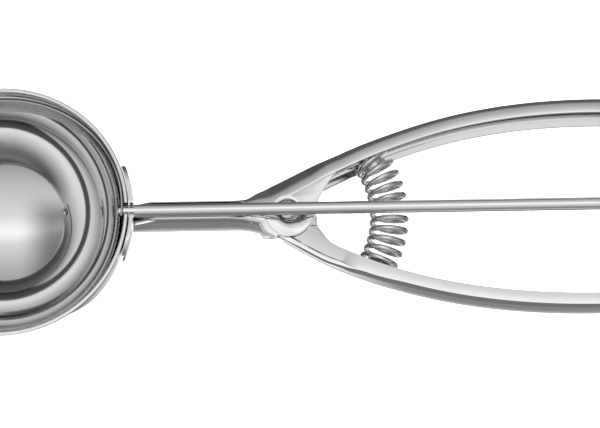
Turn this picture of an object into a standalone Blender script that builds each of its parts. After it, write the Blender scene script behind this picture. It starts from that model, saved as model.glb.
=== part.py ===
"""Ice cream scoop with squeeze handles, a toothed drive and a sweeping blade.

Lengths are in metres. The pieces are modelled in the scoop's working frame: the origin is
the centre of the bowl's sphere, +X runs along the rod to the handle's rear end, +Y points to
the fixed handle and +Z points out of the bowl's mouth. The parent empty then stands the
scoop on the world's floor, with the middle of its box above the world's origin.
"""
import math

import bmesh
import bpy
from mathutils import Matrix, Vector, geometry

# Fits
RUN_GAP = 0.0003          # round a turning shaft, and between pieces that touch
PLAY = 0.0002             # between the two handles' ears, each side

# Bowl
BOWL_RADIUS = 0.0300      # outside of the hemisphere
BOWL_WALL = 0.0010
RIM_HEIGHT = 0.0026       # straight lip above the rod's axis
ROD_SLOT = 0.00275        # snap-in slot over the rod hole

# Saddle plate between the bowl and the neck
SADDLE_SHEET = 0.0009
SADDLE_HALF_WIDTH = 0.0115
SADDLE_DEPTH = 0.0170     # below the rod's axis
SADDLE_CORNER = 0.0048    # rounding of the two upper corners

# Handle sheet
SHEET = 0.0006
BEND_RADIUS = 0.0012
NEAR_FACE = -0.0018       # face of the fixed handle towards the bowl's mouth
HANDLE_HEIGHT = 0.0122    # over both flanges of the fixed handle
NECK_HALF_WIDTH = 0.00235
NECK_TOP = -0.0004        # the neck's walls rise beside the rod
NECK_CUT_BACK = 0.0048    # from the saddle to where the walls reach their full height
NECK_CUT_DEPTH = 0.0034   # below the rod's axis, at the saddle
NECK_TO_PIVOT = 0.0112    # from the end of the straight neck to the pivot
FLARE_TO_PIVOT = 0.0024   # from the end of the neck's lower wall to the pivot
FLARE_DROP = 0.0045       # how far that end stands off the rod's axis

# Pivot of the lever
BOWL_TO_PIVOT = 0.0372    # from the outside of the bowl to the pivot
EAR_RADIUS = 0.0063
FAR_EAR_RADIUS = 0.0052   # the far ear is trimmed below
LEVER_EAR_RADIUS = 0.0047
DISH_RADIUS = 0.0030
DISH_DEPTH = 0.0009
RIVET_RADIUS = 0.00125
RIVET_HEAD_RADIUS = 0.0018
RIVET_HEAD_HEIGHT = 0.0005

# Arms
BEND_TO_PIVOT = 0.0032    # from the end of the bend that leads out of the neck
ARM_BEND_Y = 0.0059
ARM_SLOPE = math.radians(26)
PIVOT_TO_WIDEST = 0.0728  # where the handle is widest
WIDEST_TO_END = 0.0570
FIXED_WIDE_Y = 0.0265
FIXED_FLANGE = 0.0035
HEEL_TO_PIVOT = 0.0012
LEVER_START_Y = 0.0050
LEVER_SLOPE = math.radians(28)
LEVER_WIDE_Y = 0.0241
LEVER_FLANGE = 0.0033
FIXED_END_Y = 0.0150
LEVER_END_Y = 0.0130
ARM_END_SLOPE = math.radians(-23)

# Rod
ROD_RADIUS = 0.0015
TENON_RADIUS = 0.0010
TENON_HEAD_RADIUS = 0.0016
TENON_HEAD_HEIGHT = 0.0005
ROD_TAIL = 0.0012         # past the clip
CLIP_GROOVE_RADIUS = 0.0010
CLIP_RADIUS = 0.0026
CLIP_SHEET = 0.0006
CLIP_MOUTH = math.radians(70)

# Blade
BLADE_CLEARANCE = 0.00055 # between the strip and the bowl's inside
BLADE_SHEET = 0.0005
BLADE_WIDTH = 0.0057
BLADE_OVERRUN = 0.0025    # square ends run past the rod's axis
BLADE_REST = math.radians(-10.3)
FAR_PIN_HEAD_RADIUS = 0.0021
FAR_PIN_HEAD_HEIGHT = 0.0008
WASHER_RADIUS = 0.0022

# Drive
MODULE = 0.0009
PINION_TEETH = 10
PINION_LENGTH = 0.0056
RACK_RADIUS = 0.0880      # the rack is bent round the lever's pivot
RACK_SHEET = 0.0016
RACK_BACK = 0.0026        # solid metal above the tooth roots
TOOTH_CLEARANCE = 0.0002  # thinning of each tooth
PRESSURE_ANGLE = math.radians(20)
ROOT_RELIEF = 0.03        # thinning of a pinion tooth below its base circle, in radians
SQUEEZE = math.radians(8.2)
RACK_SPARE_TEETH = 1.6
RACK_FOOT_LENGTH = 0.0110
RACK_FOOT_SHEET = 0.0012

# Bracket that carries the rod's rear end
BRACKET_SHEET = 0.0010
BRACKET_BORE_WALL = 0.0012
BRACKET_FOOT_LENGTH = 0.0230
BRACKET_FOOT_SHEET = 0.0008
SMALL_RIVET_RADIUS = 0.0007
SMALL_RIVET_HEAD_RADIUS = 0.0013
SMALL_RIVET_HEAD_HEIGHT = 0.0006
SMALL_RIVET_SPACING = 0.0038

# Spring
SPRING_ARC_RADIUS = 0.0242
SPRING_COIL_RADIUS = 0.00405
SPRING_WIRE = 0.0013
SPRING_COILS = 11
SPRING_TOP = math.radians(34.0)
SPRING_BOTTOM = math.radians(-32.0)
POINTS_PER_COIL = 10
STUD_RADIUS = 0.0027
STUD_LENGTH = 0.0042

# Smoothness
BOWL_STEPS = 64
ARC_STEPS = 12
ROUND_STEPS = 24

# Places that follow from the sizes
PIVOT_X = BOWL_RADIUS + BOWL_TO_PIVOT
NECK_END = PIVOT_X - NECK_TO_PIVOT
FLARE_END = PIVOT_X - FLARE_TO_PIVOT
ARM_BEND_X = PIVOT_X - BEND_TO_PIVOT
LEVER_START_X = PIVOT_X - HEEL_TO_PIVOT
ARM_WIDE_X = PIVOT_X + PIVOT_TO_WIDEST
ARM_END_X = ARM_WIDE_X + WIDEST_TO_END
FAR_FACE = NEAR_FACE - HANDLE_HEIGHT
LEVER_TOP = NEAR_FACE - SHEET - PLAY
LEVER_BOTTOM = FAR_FACE + SHEET + PLAY
MIDDLE = (NEAR_FACE + FAR_FACE) / 2
BOWL_INSIDE = BOWL_RADIUS - BOWL_WALL
BLADE_RADIUS = BOWL_INSIDE - BLADE_CLEARANCE
SADDLE_INSIDE = BOWL_RADIUS + RUN_GAP
SADDLE_OUTSIDE = SADDLE_INSIDE + SADDLE_SHEET
CUT_BACK_X = SADDLE_OUTSIDE + NECK_CUT_BACK
PITCH = math.pi * MODULE
PINION_RADIUS = MODULE * PINION_TEETH / 2
PINION_X = PIVOT_X + RACK_RADIUS
RACK_TRAVEL = RACK_RADIUS * SQUEEZE
RACK_ROOT = PINION_RADIUS + 1.25 * MODULE
RACK_TIP = PINION_RADIUS - 0.85 * MODULE
RACK_TOP = RACK_ROOT + RACK_BACK
SLOT_HALF = PINION_LENGTH / 2 + 2 * RUN_GAP
BRACKET_HALF = SLOT_HALF + BRACKET_SHEET
ROD_SHOULDER = BLADE_RADIUS + RUN_GAP
BLADE_INSIDE = BLADE_RADIUS - BLADE_SHEET
CLIP_X = PINION_X + BRACKET_HALF + RUN_GAP
ROD_END = CLIP_X + CLIP_SHEET + RUN_GAP + ROD_TAIL
BOSS_DEPTH = DISH_DEPTH + SHEET
NECK_START = SADDLE_INSIDE * 0.8


def clear_scene():
    """Remove every object of the scene this runs in."""
    for obj in list(bpy.data.objects):
        bpy.data.objects.remove(obj)


def collection(name):
    """A new collection, linked to the scene."""
    made = bpy.data.collections.new(name)
    bpy.context.scene.collection.children.link(made)
    return made


def empty(name, place, parent):
    """A parent empty at a place of the working frame."""
    made = bpy.data.objects.new(name, None)
    made.empty_display_size = 0.01
    made.location = Vector(place)
    made.parent = parent
    PARTS.objects.link(made)
    return made


def metal(name, shade, roughness):
    """A metallic Principled material."""
    made = bpy.data.materials.new(name)
    made.use_nodes = True
    surface = made.node_tree.nodes["Principled BSDF"]
    surface.inputs["Base Color"].default_value = (shade, shade, shade * 1.01, 1.0)
    surface.inputs["Metallic"].default_value = 1.0
    surface.inputs["Roughness"].default_value = roughness
    return made


def shade_round(obj, angle=30):
    """Smooth shading with sharp edges above an angle."""
    obj.data.shade_smooth()
    obj.data.set_sharp_from_angle(angle=math.radians(angle))


def part(obj, name, shade, roughness, parent=None):
    """Make an object one of the scoop's named pieces, under the empty that it moves with."""
    obj.name = name
    obj.data.name = name
    obj.data.materials.clear()
    obj.data.materials.append(metal(name + "_steel", shade, roughness))
    carrier = parent or SCOOP
    obj.parent = carrier
    if carrier is not SCOOP:
        obj.location = -carrier.location
    PARTS.objects.link(obj)
    shade_round(obj)
    return obj


def combine(obj, tool, operation="DIFFERENCE"):
    """Cut, join or intersect a piece with a tool solid, which is then only a guide."""
    step = obj.modifiers.new(operation.lower(), "BOOLEAN")
    step.operation = operation
    step.object = tool
    step.solver = "EXACT"
    tool.hide_render = True
    tool.display_type = "WIRE"
    if tool.name not in CUTTERS.objects:
        CUTTERS.objects.link(tool)
        tool.parent = SCOOP
    return obj


def solid_object(name, bm):
    """An object from a bmesh, with all its faces turned outwards."""
    bmesh.ops.recalc_face_normals(bm, faces=bm.faces)
    mesh = bpy.data.meshes.new(name)
    bm.to_mesh(mesh)
    bm.free()
    return bpy.data.objects.new(name, mesh)


def flat_bmesh(loops, low, high):
    """Closed outlines in XY, the second and later ones holes, extruded from low to high."""
    curve = bpy.data.curves.new("outline", "CURVE")
    curve.dimensions = "2D"
    curve.fill_mode = "BOTH"
    curve.extrude = (high - low) / 2
    for loop in loops:
        spline = curve.splines.new("POLY")
        spline.points.add(len(loop) - 1)
        for point, (x, y) in zip(spline.points, loop):
            point.co = (x, y, 0, 1)
        spline.use_cyclic_u = True
    holder = bpy.data.objects.new("outline", curve)
    bpy.context.scene.collection.objects.link(holder)
    depsgraph = bpy.context.evaluated_depsgraph_get()
    mesh = bpy.data.meshes.new_from_object(holder.evaluated_get(depsgraph))
    bpy.data.objects.remove(holder)
    bpy.data.curves.remove(curve)
    bm = bmesh.new()
    bm.from_mesh(mesh)
    bpy.data.meshes.remove(mesh)
    bmesh.ops.remove_doubles(bm, verts=bm.verts, dist=1e-6)
    bmesh.ops.translate(bm, verts=bm.verts, vec=(0, 0, (low + high) / 2))
    return bm


def whole_bmesh(outline, low, high):
    """One closed outline extruded from low to high, each cap a single face."""
    bm = flat_bmesh([outline], low, high)
    for level in (low, high):
        cap = [f for f in bm.faces if all(abs(v.co.z - level) < 1e-6 for v in f.verts)]
        bmesh.ops.dissolve_faces(bm, faces=cap)
    return bm


def flat_solid(name, loops, low, high, turn=None):
    """A plate with the given outlines, turned into place."""
    bm = flat_bmesh(loops, low, high)
    if turn is not None:
        bmesh.ops.transform(bm, matrix=turn, verts=bm.verts)
    return solid_object(name, bm)


def turned_solid(name, profile, steps=ROUND_STEPS, turn=None):
    """A profile of (radius, height) points, down the outer side, turned about Z."""
    mesh = bpy.data.meshes.new(name)
    points = [(r, 0.0, z) for r, z in profile]
    closed = profile[0][0] > 0 and profile[-1][0] > 0
    edges = [(i, i + 1) for i in range(len(points) - 1)]
    if closed:
        edges.append((len(points) - 1, 0))
    mesh.from_pydata(points, edges, [])
    obj = bpy.data.objects.new(name, mesh)
    screw = obj.modifiers.new("turn", "SCREW")
    screw.axis = "Z"
    screw.steps = steps
    screw.render_steps = steps
    screw.use_merge_vertices = True
    screw.merge_threshold = 1e-6
    if turn is not None:
        bpy.context.scene.collection.objects.link(obj)
        depsgraph = bpy.context.evaluated_depsgraph_get()
        baked = bpy.data.meshes.new_from_object(obj.evaluated_get(depsgraph))
        bpy.data.objects.remove(obj)
        baked.transform(turn)
        obj = bpy.data.objects.new(name, baked)
    return obj


def cylinder(name, radius, start, end, steps=ROUND_STEPS):
    """A round bar between two points."""
    start, end = Vector(start), Vector(end)
    bm = bmesh.new()
    bmesh.ops.create_cone(
        bm, cap_ends=True, segments=steps, radius1=radius, radius2=radius,
        depth=(end - start).length)
    turn = (end - start).to_track_quat("Z", "Y").to_matrix().to_4x4()
    turn.translation = (start + end) / 2
    bmesh.ops.transform(bm, matrix=turn, verts=bm.verts)
    return solid_object(name, bm)


def block(name, low, high):
    """A box between two corners."""
    low, high = Vector(low), Vector(high)
    bm = bmesh.new()
    bmesh.ops.create_cube(bm, size=1.0)
    size = high - low
    place = Matrix.Translation((low + high) / 2) @ Matrix.Diagonal((*size, 1.0))
    bmesh.ops.transform(bm, matrix=place, verts=bm.verts)
    return solid_object(name, bm)


def arc(centre, radius, start, end, steps=ARC_STEPS):
    """Points on an arc, angles in radians."""
    cx, cy = centre
    turns = [start + (end - start) * i / steps for i in range(steps + 1)]
    return [(cx + radius * math.cos(a), cy + radius * math.sin(a)) for a in turns]


def smooth_run(start, start_slope, start_pull, end, end_slope, end_pull, steps=ARC_STEPS):
    """Points of one cubic curve between two places with given directions.

    A pull is the length of a handle of the curve, as a share of the distance."""
    a, d = Vector((*start, 0)), Vector((*end, 0))
    reach = (d - a).length
    b = a + start_pull * reach * Vector((math.cos(start_slope), math.sin(start_slope), 0))
    c = d - end_pull * reach * Vector((math.cos(end_slope), math.sin(end_slope), 0))
    return [(p.x, p.y) for p in geometry.interpolate_bezier(a, b, c, d, steps + 1)]


def offset_run(points, distance):
    """An open run of points moved sideways, to the left of its direction for plus."""
    moved = []
    for i, (x, y) in enumerate(points):
        x0, y0 = points[max(i - 1, 0)]
        x1, y1 = points[min(i + 1, len(points) - 1)]
        length = math.hypot(x1 - x0, y1 - y0)
        moved.append((x - distance * (y1 - y0) / length, y + distance * (x1 - x0) / length))
    return moved


def mirror(points):
    """A run of points on the other side of the rod."""
    return [(x, -y) for x, y in points]


def height_at(run, x):
    """The Y of a run of points, read at one X."""
    for (x0, y0), (x1, y1) in zip(run, run[1:]):
        if x0 <= x <= x1:
            return y0 + (y1 - y0) * (x - x0) / (x1 - x0)
    raise ValueError("the run does not reach that X")


def bent_edges(bm, run, height, first_x):
    """Edges at one height whose both ends lie on a run of points, past first_x."""
    corners = {(round(x, 7), round(y, 7)) for x, y in run if x >= first_x}
    chosen = []
    for edge in bm.edges:
        if all(abs(v.co.z - height) < 1e-6
               and (round(v.co.x, 7), round(v.co.y, 7)) in corners for v in edge.verts):
            chosen.append(edge)
    return chosen


def bend(bm, edges, radius, steps=4):
    """Round the folds of a pressed sheet."""
    bmesh.ops.bevel(
        bm, geom=edges, offset=radius, offset_type="OFFSET", segments=steps,
        profile=0.5, affect="EDGES", clamp_overlap=False)


# Outlines of the two handles, outside of the sheet, from the neck to the rear end

def fixed_run():
    """Outer line of the fixed handle, from the neck to its rear end."""
    bend_end = (ARM_BEND_X, ARM_BEND_Y)
    wide = (ARM_WIDE_X, FIXED_WIDE_Y)
    neck_end = (NECK_END - 0.0035, NECK_HALF_WIDTH)
    leave = smooth_run(neck_end, 0, 0.457, bend_end, ARM_SLOPE, 0.332, 8)
    front = smooth_run(bend_end, ARM_SLOPE, 0.2654, wide, 0, 0.4763, 22)
    rear = smooth_run(wide, 0, 0.4127, (ARM_END_X, FIXED_END_Y), ARM_END_SLOPE, 0.3096, 14)
    return leave + front[1:] + rear[1:]


def lever_run():
    """Outer line of the lever, from its heel to its rear end, mirrored to +Y."""
    wide = (ARM_WIDE_X, LEVER_WIDE_Y)
    front = smooth_run((LEVER_START_X, LEVER_START_Y), LEVER_SLOPE, 0.1087, wide, 0, 0.6171, 22)
    rear = smooth_run(wide, 0, 0.4138, (ARM_END_X, LEVER_END_Y), ARM_END_SLOPE, 0.3103, 14)
    return front + rear[1:]


def flare_run():
    """Outer line of the neck's lower wall, from the bowl to the flare's end, mirrored."""
    level = [(NECK_START, NECK_HALF_WIDTH)]
    return level + smooth_run(
        (NECK_END - 0.001, NECK_HALF_WIDTH), 0, 0.399,
        (FLARE_END, FLARE_DROP), math.radians(9), 0.299, 6)


def make_bowl():
    """Pressed hemisphere with a straight lip, a rod hole and a pin hole."""
    inner = [(BOWL_INSIDE * math.cos(a), BOWL_INSIDE * math.sin(a))
             for a in [math.radians(-90 + 90 * i / ARC_STEPS) for i in range(ARC_STEPS + 1)]]
    outer = [(BOWL_RADIUS * math.cos(a), BOWL_RADIUS * math.sin(a))
             for a in [math.radians(-90 * i / ARC_STEPS) for i in range(ARC_STEPS + 1)]]
    inner[0] = (0.0, -BOWL_INSIDE)
    outer[-1] = (0.0, -BOWL_RADIUS)
    lip = [(BOWL_INSIDE, RIM_HEIGHT), (BOWL_RADIUS, RIM_HEIGHT)]
    bowl = part(turned_solid("bowl", inner + lip + outer, BOWL_STEPS), "bowl", 0.80, 0.08)
    reach = 2 * BOWL_RADIUS
    combine(bowl, cylinder(
        "rod_hole_cutter", ROD_RADIUS + RUN_GAP, (BOWL_INSIDE / 2, 0, 0), (reach, 0, 0)))
    combine(bowl, rod_slot_cutter("bowl_slot_cutter"))
    combine(bowl, cylinder(
        "pin_hole_cutter", TENON_RADIUS + RUN_GAP, (-reach, 0, 0), (-BOWL_INSIDE / 2, 0, 0)))
    return bowl


def rod_slot_cutter(name):
    """The open slot over the rod hole, through the bowl's lip and the saddle."""
    return block(
        name, (BOWL_INSIDE / 2, -ROD_SLOT / 2, 0),
        (2 * BOWL_RADIUS, ROD_SLOT / 2, 2 * RIM_HEIGHT + ROD_RADIUS))


def make_saddle():
    """Curved plate that hugs the bowl and takes the neck, with a rounded tongue below."""
    arcs = []
    for radius, order in ((SADDLE_INSIDE, 1), (SADDLE_OUTSIDE, -1)):
        turns = [math.radians(-80 + 80 * i / ARC_STEPS) for i in range(ARC_STEPS + 1)]
        run = [(radius * math.cos(a), radius * math.sin(a)) for a in turns]
        arcs.append((run + [(radius, RIM_HEIGHT)])[::order])
    saddle = turned_solid("saddle", arcs[0] + arcs[1], BOWL_STEPS)
    part(saddle, "saddle", 0.80, 0.12)
    tongue = arc((0, -SADDLE_DEPTH + SADDLE_HALF_WIDTH / 2), SADDLE_HALF_WIDTH / 2,
                 -math.pi, 0)
    level = SADDLE_HALF_WIDTH - SADDLE_CORNER
    corner = arc((level, RIM_HEIGHT - SADDLE_CORNER), SADDLE_CORNER, 0, math.pi / 2, 8)
    outline = corner + [(-x, y) for x, y in corner[::-1]] + tongue
    turn = Matrix(((0, 0, 1, 0), (1, 0, 0, 0), (0, 1, 0, 0), (0, 0, 0, 1)))
    combine(saddle, flat_solid(
        "saddle_shape", [outline], BOWL_RADIUS / 4, 2 * BOWL_RADIUS, turn), "INTERSECT")
    combine(saddle, cylinder(
        "saddle_hole_cutter", ROD_RADIUS + RUN_GAP, (BOWL_INSIDE / 2, 0, 0),
        (2 * BOWL_RADIUS, 0, 0)))
    combine(saddle, rod_slot_cutter("saddle_slot_cutter"))
    return saddle


def ear_boss(name, face, direction):
    """Solid under the pivot's dish, from a face of the fixed handle inwards."""
    inner = face - direction * BOSS_DEPTH
    return cylinder(name, DISH_RADIUS, (PIVOT_X, 0, face - direction * SHEET / 2),
                    (PIVOT_X, 0, inner), 32)


def dish_cutter(name, face, direction):
    """Conical dish in which the pivot rivet's head sits."""
    bm = bmesh.new()
    over = 0.0005
    slope = (DISH_RADIUS - SHEET - (RIVET_HEAD_RADIUS + RUN_GAP)) / DISH_DEPTH
    low, high = RIVET_HEAD_RADIUS + RUN_GAP, DISH_RADIUS - SHEET + slope * over
    bmesh.ops.create_cone(bm, cap_ends=True, segments=32, radius1=low, radius2=high,
                          depth=DISH_DEPTH + over)
    turn = Matrix.Diagonal((1, 1, direction, 1))
    middle = face + direction * (over - DISH_DEPTH) / 2
    place = Matrix.Translation((PIVOT_X, 0, middle)) @ turn
    bmesh.ops.transform(bm, matrix=place, verts=bm.verts)
    return solid_object(name, bm)


def make_fixed_handle():
    """Neck, ears and fixed arm, pressed from one sheet."""
    outer = fixed_run()
    flare = mirror(flare_run())
    inner = offset_run(outer, -FIXED_FLANGE)
    fillet_end = next(p for p in inner if p[0] > PIVOT_X + EAR_RADIUS + 0.0055)
    arm_inner = [p for p in inner if p[0] > fillet_end[0]]
    ear = arc((PIVOT_X, 0), EAR_RADIUS, math.radians(-112), math.radians(5), 16)
    shoulder = [(FLARE_END - 0.0028, -FLARE_DROP), (FLARE_END - 0.0016, -FLARE_DROP * 1.2)]
    fillet = smooth_run(ear[-1], math.radians(92), 0.42, fillet_end, ARM_SLOPE, 0.37, 6)
    rise = [p for p in flare if p[0] < shoulder[0][0] - 0.0004]
    outline = ([(NECK_START, NECK_HALF_WIDTH)] + outer + arm_inner[::-1]
               + fillet[::-1] + ear[::-1][1:] + shoulder[::-1] + rise[::-1])
    bm = whole_bmesh(outline, FAR_FACE, NEAR_FACE)
    wall_line = [(NECK_START, NECK_HALF_WIDTH)] + outer
    folds = (bent_edges(bm, wall_line, FAR_FACE, 0)
             + bent_edges(bm, rise, FAR_FACE, 0)
             + bent_edges(bm, outer, NEAR_FACE, NECK_END + 0.001))
    bend(bm, folds, BEND_RADIUS)
    handle = part(solid_object("fixed_handle", bm), "fixed_handle", 0.80, 0.10)
    combine(handle, neck_rails(), "UNION")
    combine(handle, handle_cavity(outer, flare))
    combine(handle, neck_mouth(flare))
    combine(handle, ear_trim(flare))
    combine(handle, front_cutter())
    for side, face, direction in (("near", NEAR_FACE, 1), ("far", FAR_FACE, -1)):
        combine(handle, ear_boss("pivot_boss_" + side, face, direction), "UNION")
        combine(handle, dish_cutter("dish_cutter_" + side, face, direction))
    combine(handle, cylinder("rivet_hole_cutter", RIVET_RADIUS + RUN_GAP,
                             (PIVOT_X, 0, FAR_FACE - 0.002), (PIVOT_X, 0, NEAR_FACE + 0.001)))
    return handle


def neck_rails():
    """The part of the neck's walls that stands beside the rod, before it is hollowed."""
    low = NEAR_FACE - BEND_RADIUS * 2
    side = [(SADDLE_INSIDE, low), (SADDLE_INSIDE, NECK_TOP), (NECK_END - 0.003, NECK_TOP),
            (NECK_END + 0.0035, NEAR_FACE), (NECK_END + 0.0035, low)]
    turn = Matrix(((1, 0, 0, 0), (0, 0, -1, 0), (0, 1, 0, 0), (0, 0, 0, 1)))
    return flat_solid("neck_rails", [side], -NECK_HALF_WIDTH, NECK_HALF_WIDTH, turn)


def front_cutter():
    """Trims the neck's front end to the saddle and cuts its walls back above."""
    lead = SADDLE_OUTSIDE + RUN_GAP
    bm = bmesh.new()
    bmesh.ops.create_uvsphere(bm, u_segments=48, v_segments=32, radius=lead)
    cutter = solid_object("neck_front_cutter", bm)
    side = [(0, 0.01), (0, -NECK_CUT_DEPTH), (lead, -NECK_CUT_DEPTH),
            ((lead + CUT_BACK_X) / 2, -NECK_CUT_DEPTH / 3), (CUT_BACK_X, 0.0005),
            (CUT_BACK_X, 0.01)]
    turn = Matrix(((1, 0, 0, 0), (0, 0, -1, 0), (0, 1, 0, 0), (0, 0, 0, 1)))
    wedge = flat_solid("neck_cut_back", [side], -0.01, 0.01, turn)
    CUTTERS.objects.link(wedge)
    wedge.parent = SCOOP
    return combine(cutter, wedge, "UNION")


def handle_cavity(outer, flare):
    """Inside of the ears and of the fixed arm's channel."""
    wall = offset_run(outer, -SHEET)
    wall = [p for p in wall if p[0] > NECK_END]
    low_wall = [(x, y + SHEET) for x, y in flare if x > NECK_END]
    wall.append((ARM_END_X + 0.01, wall[-1][1] + math.tan(ARM_END_SLOPE) * 0.01))
    open_side = [(ARM_END_X + 0.01, -FIXED_WIDE_Y), (PIVOT_X + EAR_RADIUS, -FIXED_WIDE_Y),
                 (FLARE_END, low_wall[-1][1] - SHEET * 1.3), (FLARE_END, low_wall[-1][1])]
    outline = wall + open_side + low_wall[::-1][1:]
    bm = whole_bmesh(outline, FAR_FACE + SHEET, NEAR_FACE - SHEET)
    folds = (bent_edges(bm, wall, FAR_FACE + SHEET, 0) + bent_edges(bm, wall, NEAR_FACE - SHEET, 0)
             + bent_edges(bm, low_wall, FAR_FACE + SHEET, 0))
    bend(bm, folds, BEND_RADIUS - SHEET, 3)
    return solid_object("handle_cavity", bm)


def ear_trim(flare):
    """Clears what lies outside the neck's flared wall, below the near ear's plate."""
    wall = [p for p in flare if p[0] > NECK_END + 0.003]
    rim = arc((PIVOT_X, 0), FAR_EAR_RADIUS, math.radians(-118), math.radians(-35), 10)
    out = -2 * EAR_RADIUS
    outline = wall + rim + [(PIVOT_X + EAR_RADIUS * 1.2, -FLARE_DROP / 2),
                            (PIVOT_X + EAR_RADIUS * 1.2, out), (wall[0][0], out)]
    return flat_solid("ear_trim", [outline], FAR_FACE - 0.001, NEAR_FACE - SHEET + RUN_GAP / 10)


def neck_mouth(flare):
    """Inside of the neck, open beside the rod, up to the ear's slanted front edge."""
    inside = NECK_HALF_WIDTH - SHEET
    crease = NECK_END + 0.0042
    low_wall = [(x, y + SHEET) for x, y in flare if x < crease]
    low_wall[0] = (0, -inside)
    side = [(0, inside), (NECK_END, inside)]
    outline = (side + [(NECK_END + 0.0028, inside), (crease - 0.0003, -inside / 2)]
               + low_wall[::-1])
    bm = whole_bmesh(outline, FAR_FACE + SHEET, 0.01)
    folds = (bent_edges(bm, side, FAR_FACE + SHEET, 0)
             + bent_edges(bm, low_wall, FAR_FACE + SHEET, 0))
    bend(bm, folds, BEND_RADIUS - SHEET, 3)
    return solid_object("neck_mouth", bm)


def make_lever():
    """Squeezed arm: a channel with two ears inside the fixed handle's ears."""
    outer = mirror(lever_run())
    inner = offset_run(outer, LEVER_FLANGE)
    fillet_end = next(p for p in inner if p[0] > PIVOT_X + EAR_RADIUS + 0.0045)
    arm_inner = [p for p in inner if p[0] > fillet_end[0]]
    ear = arc((PIVOT_X, 0), LEVER_EAR_RADIUS, math.radians(5), math.radians(215), 20)
    fillet = smooth_run(fillet_end, math.pi - ARM_SLOPE, 0.29, ear[0], math.radians(100), 0.29, 6)
    heel = (FLARE_END + 0.0004, -(FLARE_DROP - SHEET - 0.00035))
    outline = outer + arm_inner[::-1] + fillet + ear[1:] + [heel]
    bm = whole_bmesh(outline, LEVER_BOTTOM, LEVER_TOP)
    folds = bent_edges(bm, outer, LEVER_BOTTOM, 0) + bent_edges(bm, outer, LEVER_TOP, 0)
    bend(bm, folds, BEND_RADIUS)
    lever = part(solid_object("lever_arm", bm), "lever_arm", 0.80, 0.10, LEVER_HINGE)
    wall = offset_run(outer, SHEET)
    wall.insert(0, (wall[0][0] - 0.008, wall[0][1] + 0.008 * math.tan(LEVER_SLOPE)))
    wall.append((ARM_END_X + 0.01, wall[-1][1] - math.tan(ARM_END_SLOPE) * 0.01))
    cavity_outline = wall + [(wall[-1][0], FIXED_WIDE_Y), (wall[0][0], FIXED_WIDE_Y)]
    bm = whole_bmesh(cavity_outline, LEVER_BOTTOM + SHEET, LEVER_TOP - SHEET)
    folds = (bent_edges(bm, wall, LEVER_BOTTOM + SHEET, 0)
             + bent_edges(bm, wall, LEVER_TOP - SHEET, 0))
    bend(bm, folds, BEND_RADIUS - SHEET, 3)
    combine(lever, solid_object("lever_cavity", bm))
    combine(lever, cylinder("lever_hole_cutter", DISH_RADIUS + RUN_GAP,
                            (PIVOT_X, 0, LEVER_BOTTOM - 0.002), (PIVOT_X, 0, LEVER_TOP + 0.002), 32))
    return lever


def make_pivot():
    """Rivet through both dishes, and the tube that keeps them apart."""
    near_seat = NEAR_FACE - DISH_DEPTH + RUN_GAP
    far_seat = FAR_FACE + DISH_DEPTH - RUN_GAP
    crown = RIVET_HEAD_RADIUS * 0.6
    profile = [(0, near_seat + RIVET_HEAD_HEIGHT), (crown, near_seat + RIVET_HEAD_HEIGHT),
               (RIVET_HEAD_RADIUS, near_seat + RIVET_HEAD_HEIGHT * 0.4),
               (RIVET_HEAD_RADIUS, near_seat), (RIVET_RADIUS, near_seat),
               (RIVET_RADIUS, far_seat), (RIVET_HEAD_RADIUS, far_seat),
               (RIVET_HEAD_RADIUS, far_seat - RIVET_HEAD_HEIGHT * 0.4),
               (crown, far_seat - RIVET_HEAD_HEIGHT), (0, far_seat - RIVET_HEAD_HEIGHT)]
    place = Matrix.Translation((PIVOT_X, 0, 0))
    part(turned_solid("pivot_rivet", profile, ROUND_STEPS, place), "pivot_rivet", 0.75, 0.15)
    top = NEAR_FACE - BOSS_DEPTH - RUN_GAP
    bottom = FAR_FACE + BOSS_DEPTH + RUN_GAP
    bore = RIVET_RADIUS + RUN_GAP
    tube = [(bore, top), (bore + 2 * SHEET, top), (bore + 2 * SHEET, bottom), (bore, bottom)]
    part(turned_solid("pivot_spacer", tube, ROUND_STEPS, place), "pivot_spacer", 0.7, 0.3)


def along_x(profile):
    """A turned profile of (position along X, radius), as (radius, height) down its side."""
    return [(r, -x) for x, r in profile]


FROM_Z_TO_X = Matrix(((0, 0, -1, 0), (0, 1, 0, 0), (1, 0, 0, 0), (0, 0, 0, 1)))


def make_rod():
    """Round rod: a tenon and a closed head at the blade, a clip groove at the rear end."""
    head = BLADE_INSIDE - RUN_GAP
    groove = CLIP_X + CLIP_SHEET + RUN_GAP
    profile = [(head - TENON_HEAD_HEIGHT, 0), (head - TENON_HEAD_HEIGHT, TENON_HEAD_RADIUS * 0.6),
               (head, TENON_HEAD_RADIUS), (head, TENON_RADIUS), (ROD_SHOULDER, TENON_RADIUS),
               (ROD_SHOULDER, ROD_RADIUS), (CLIP_X - RUN_GAP, ROD_RADIUS),
               (CLIP_X - RUN_GAP, CLIP_GROOVE_RADIUS), (groove, CLIP_GROOVE_RADIUS),
               (groove, ROD_RADIUS), (ROD_END - ROD_RADIUS / 4, ROD_RADIUS),
               (ROD_END, ROD_RADIUS * 0.75), (ROD_END, 0)]
    rod = turned_solid("rod", along_x(profile), ROUND_STEPS, FROM_Z_TO_X)
    part(rod, "rod", 0.82, 0.10, ROD_AXIS)


def make_rod_clip():
    """Open spring clip in the rod's groove."""
    inner = CLIP_GROOVE_RADIUS + RUN_GAP / 2
    half = CLIP_MOUTH / 2
    outer_arc = arc((0, 0), CLIP_RADIUS, half, 2 * math.pi - half, 24)
    inner_arc = arc((0, 0), inner, 2 * math.pi - half, half, 24)
    turn = Matrix(((0, 0, 1, CLIP_X), (1, 0, 0, 0), (0, 1, 0, 0), (0, 0, 0, 1)))
    clip = flat_solid("rod_clip", [outer_arc + inner_arc], 0, CLIP_SHEET, turn)
    part(clip, "rod_clip", 0.55, 0.35, ROD_AXIS)


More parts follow.
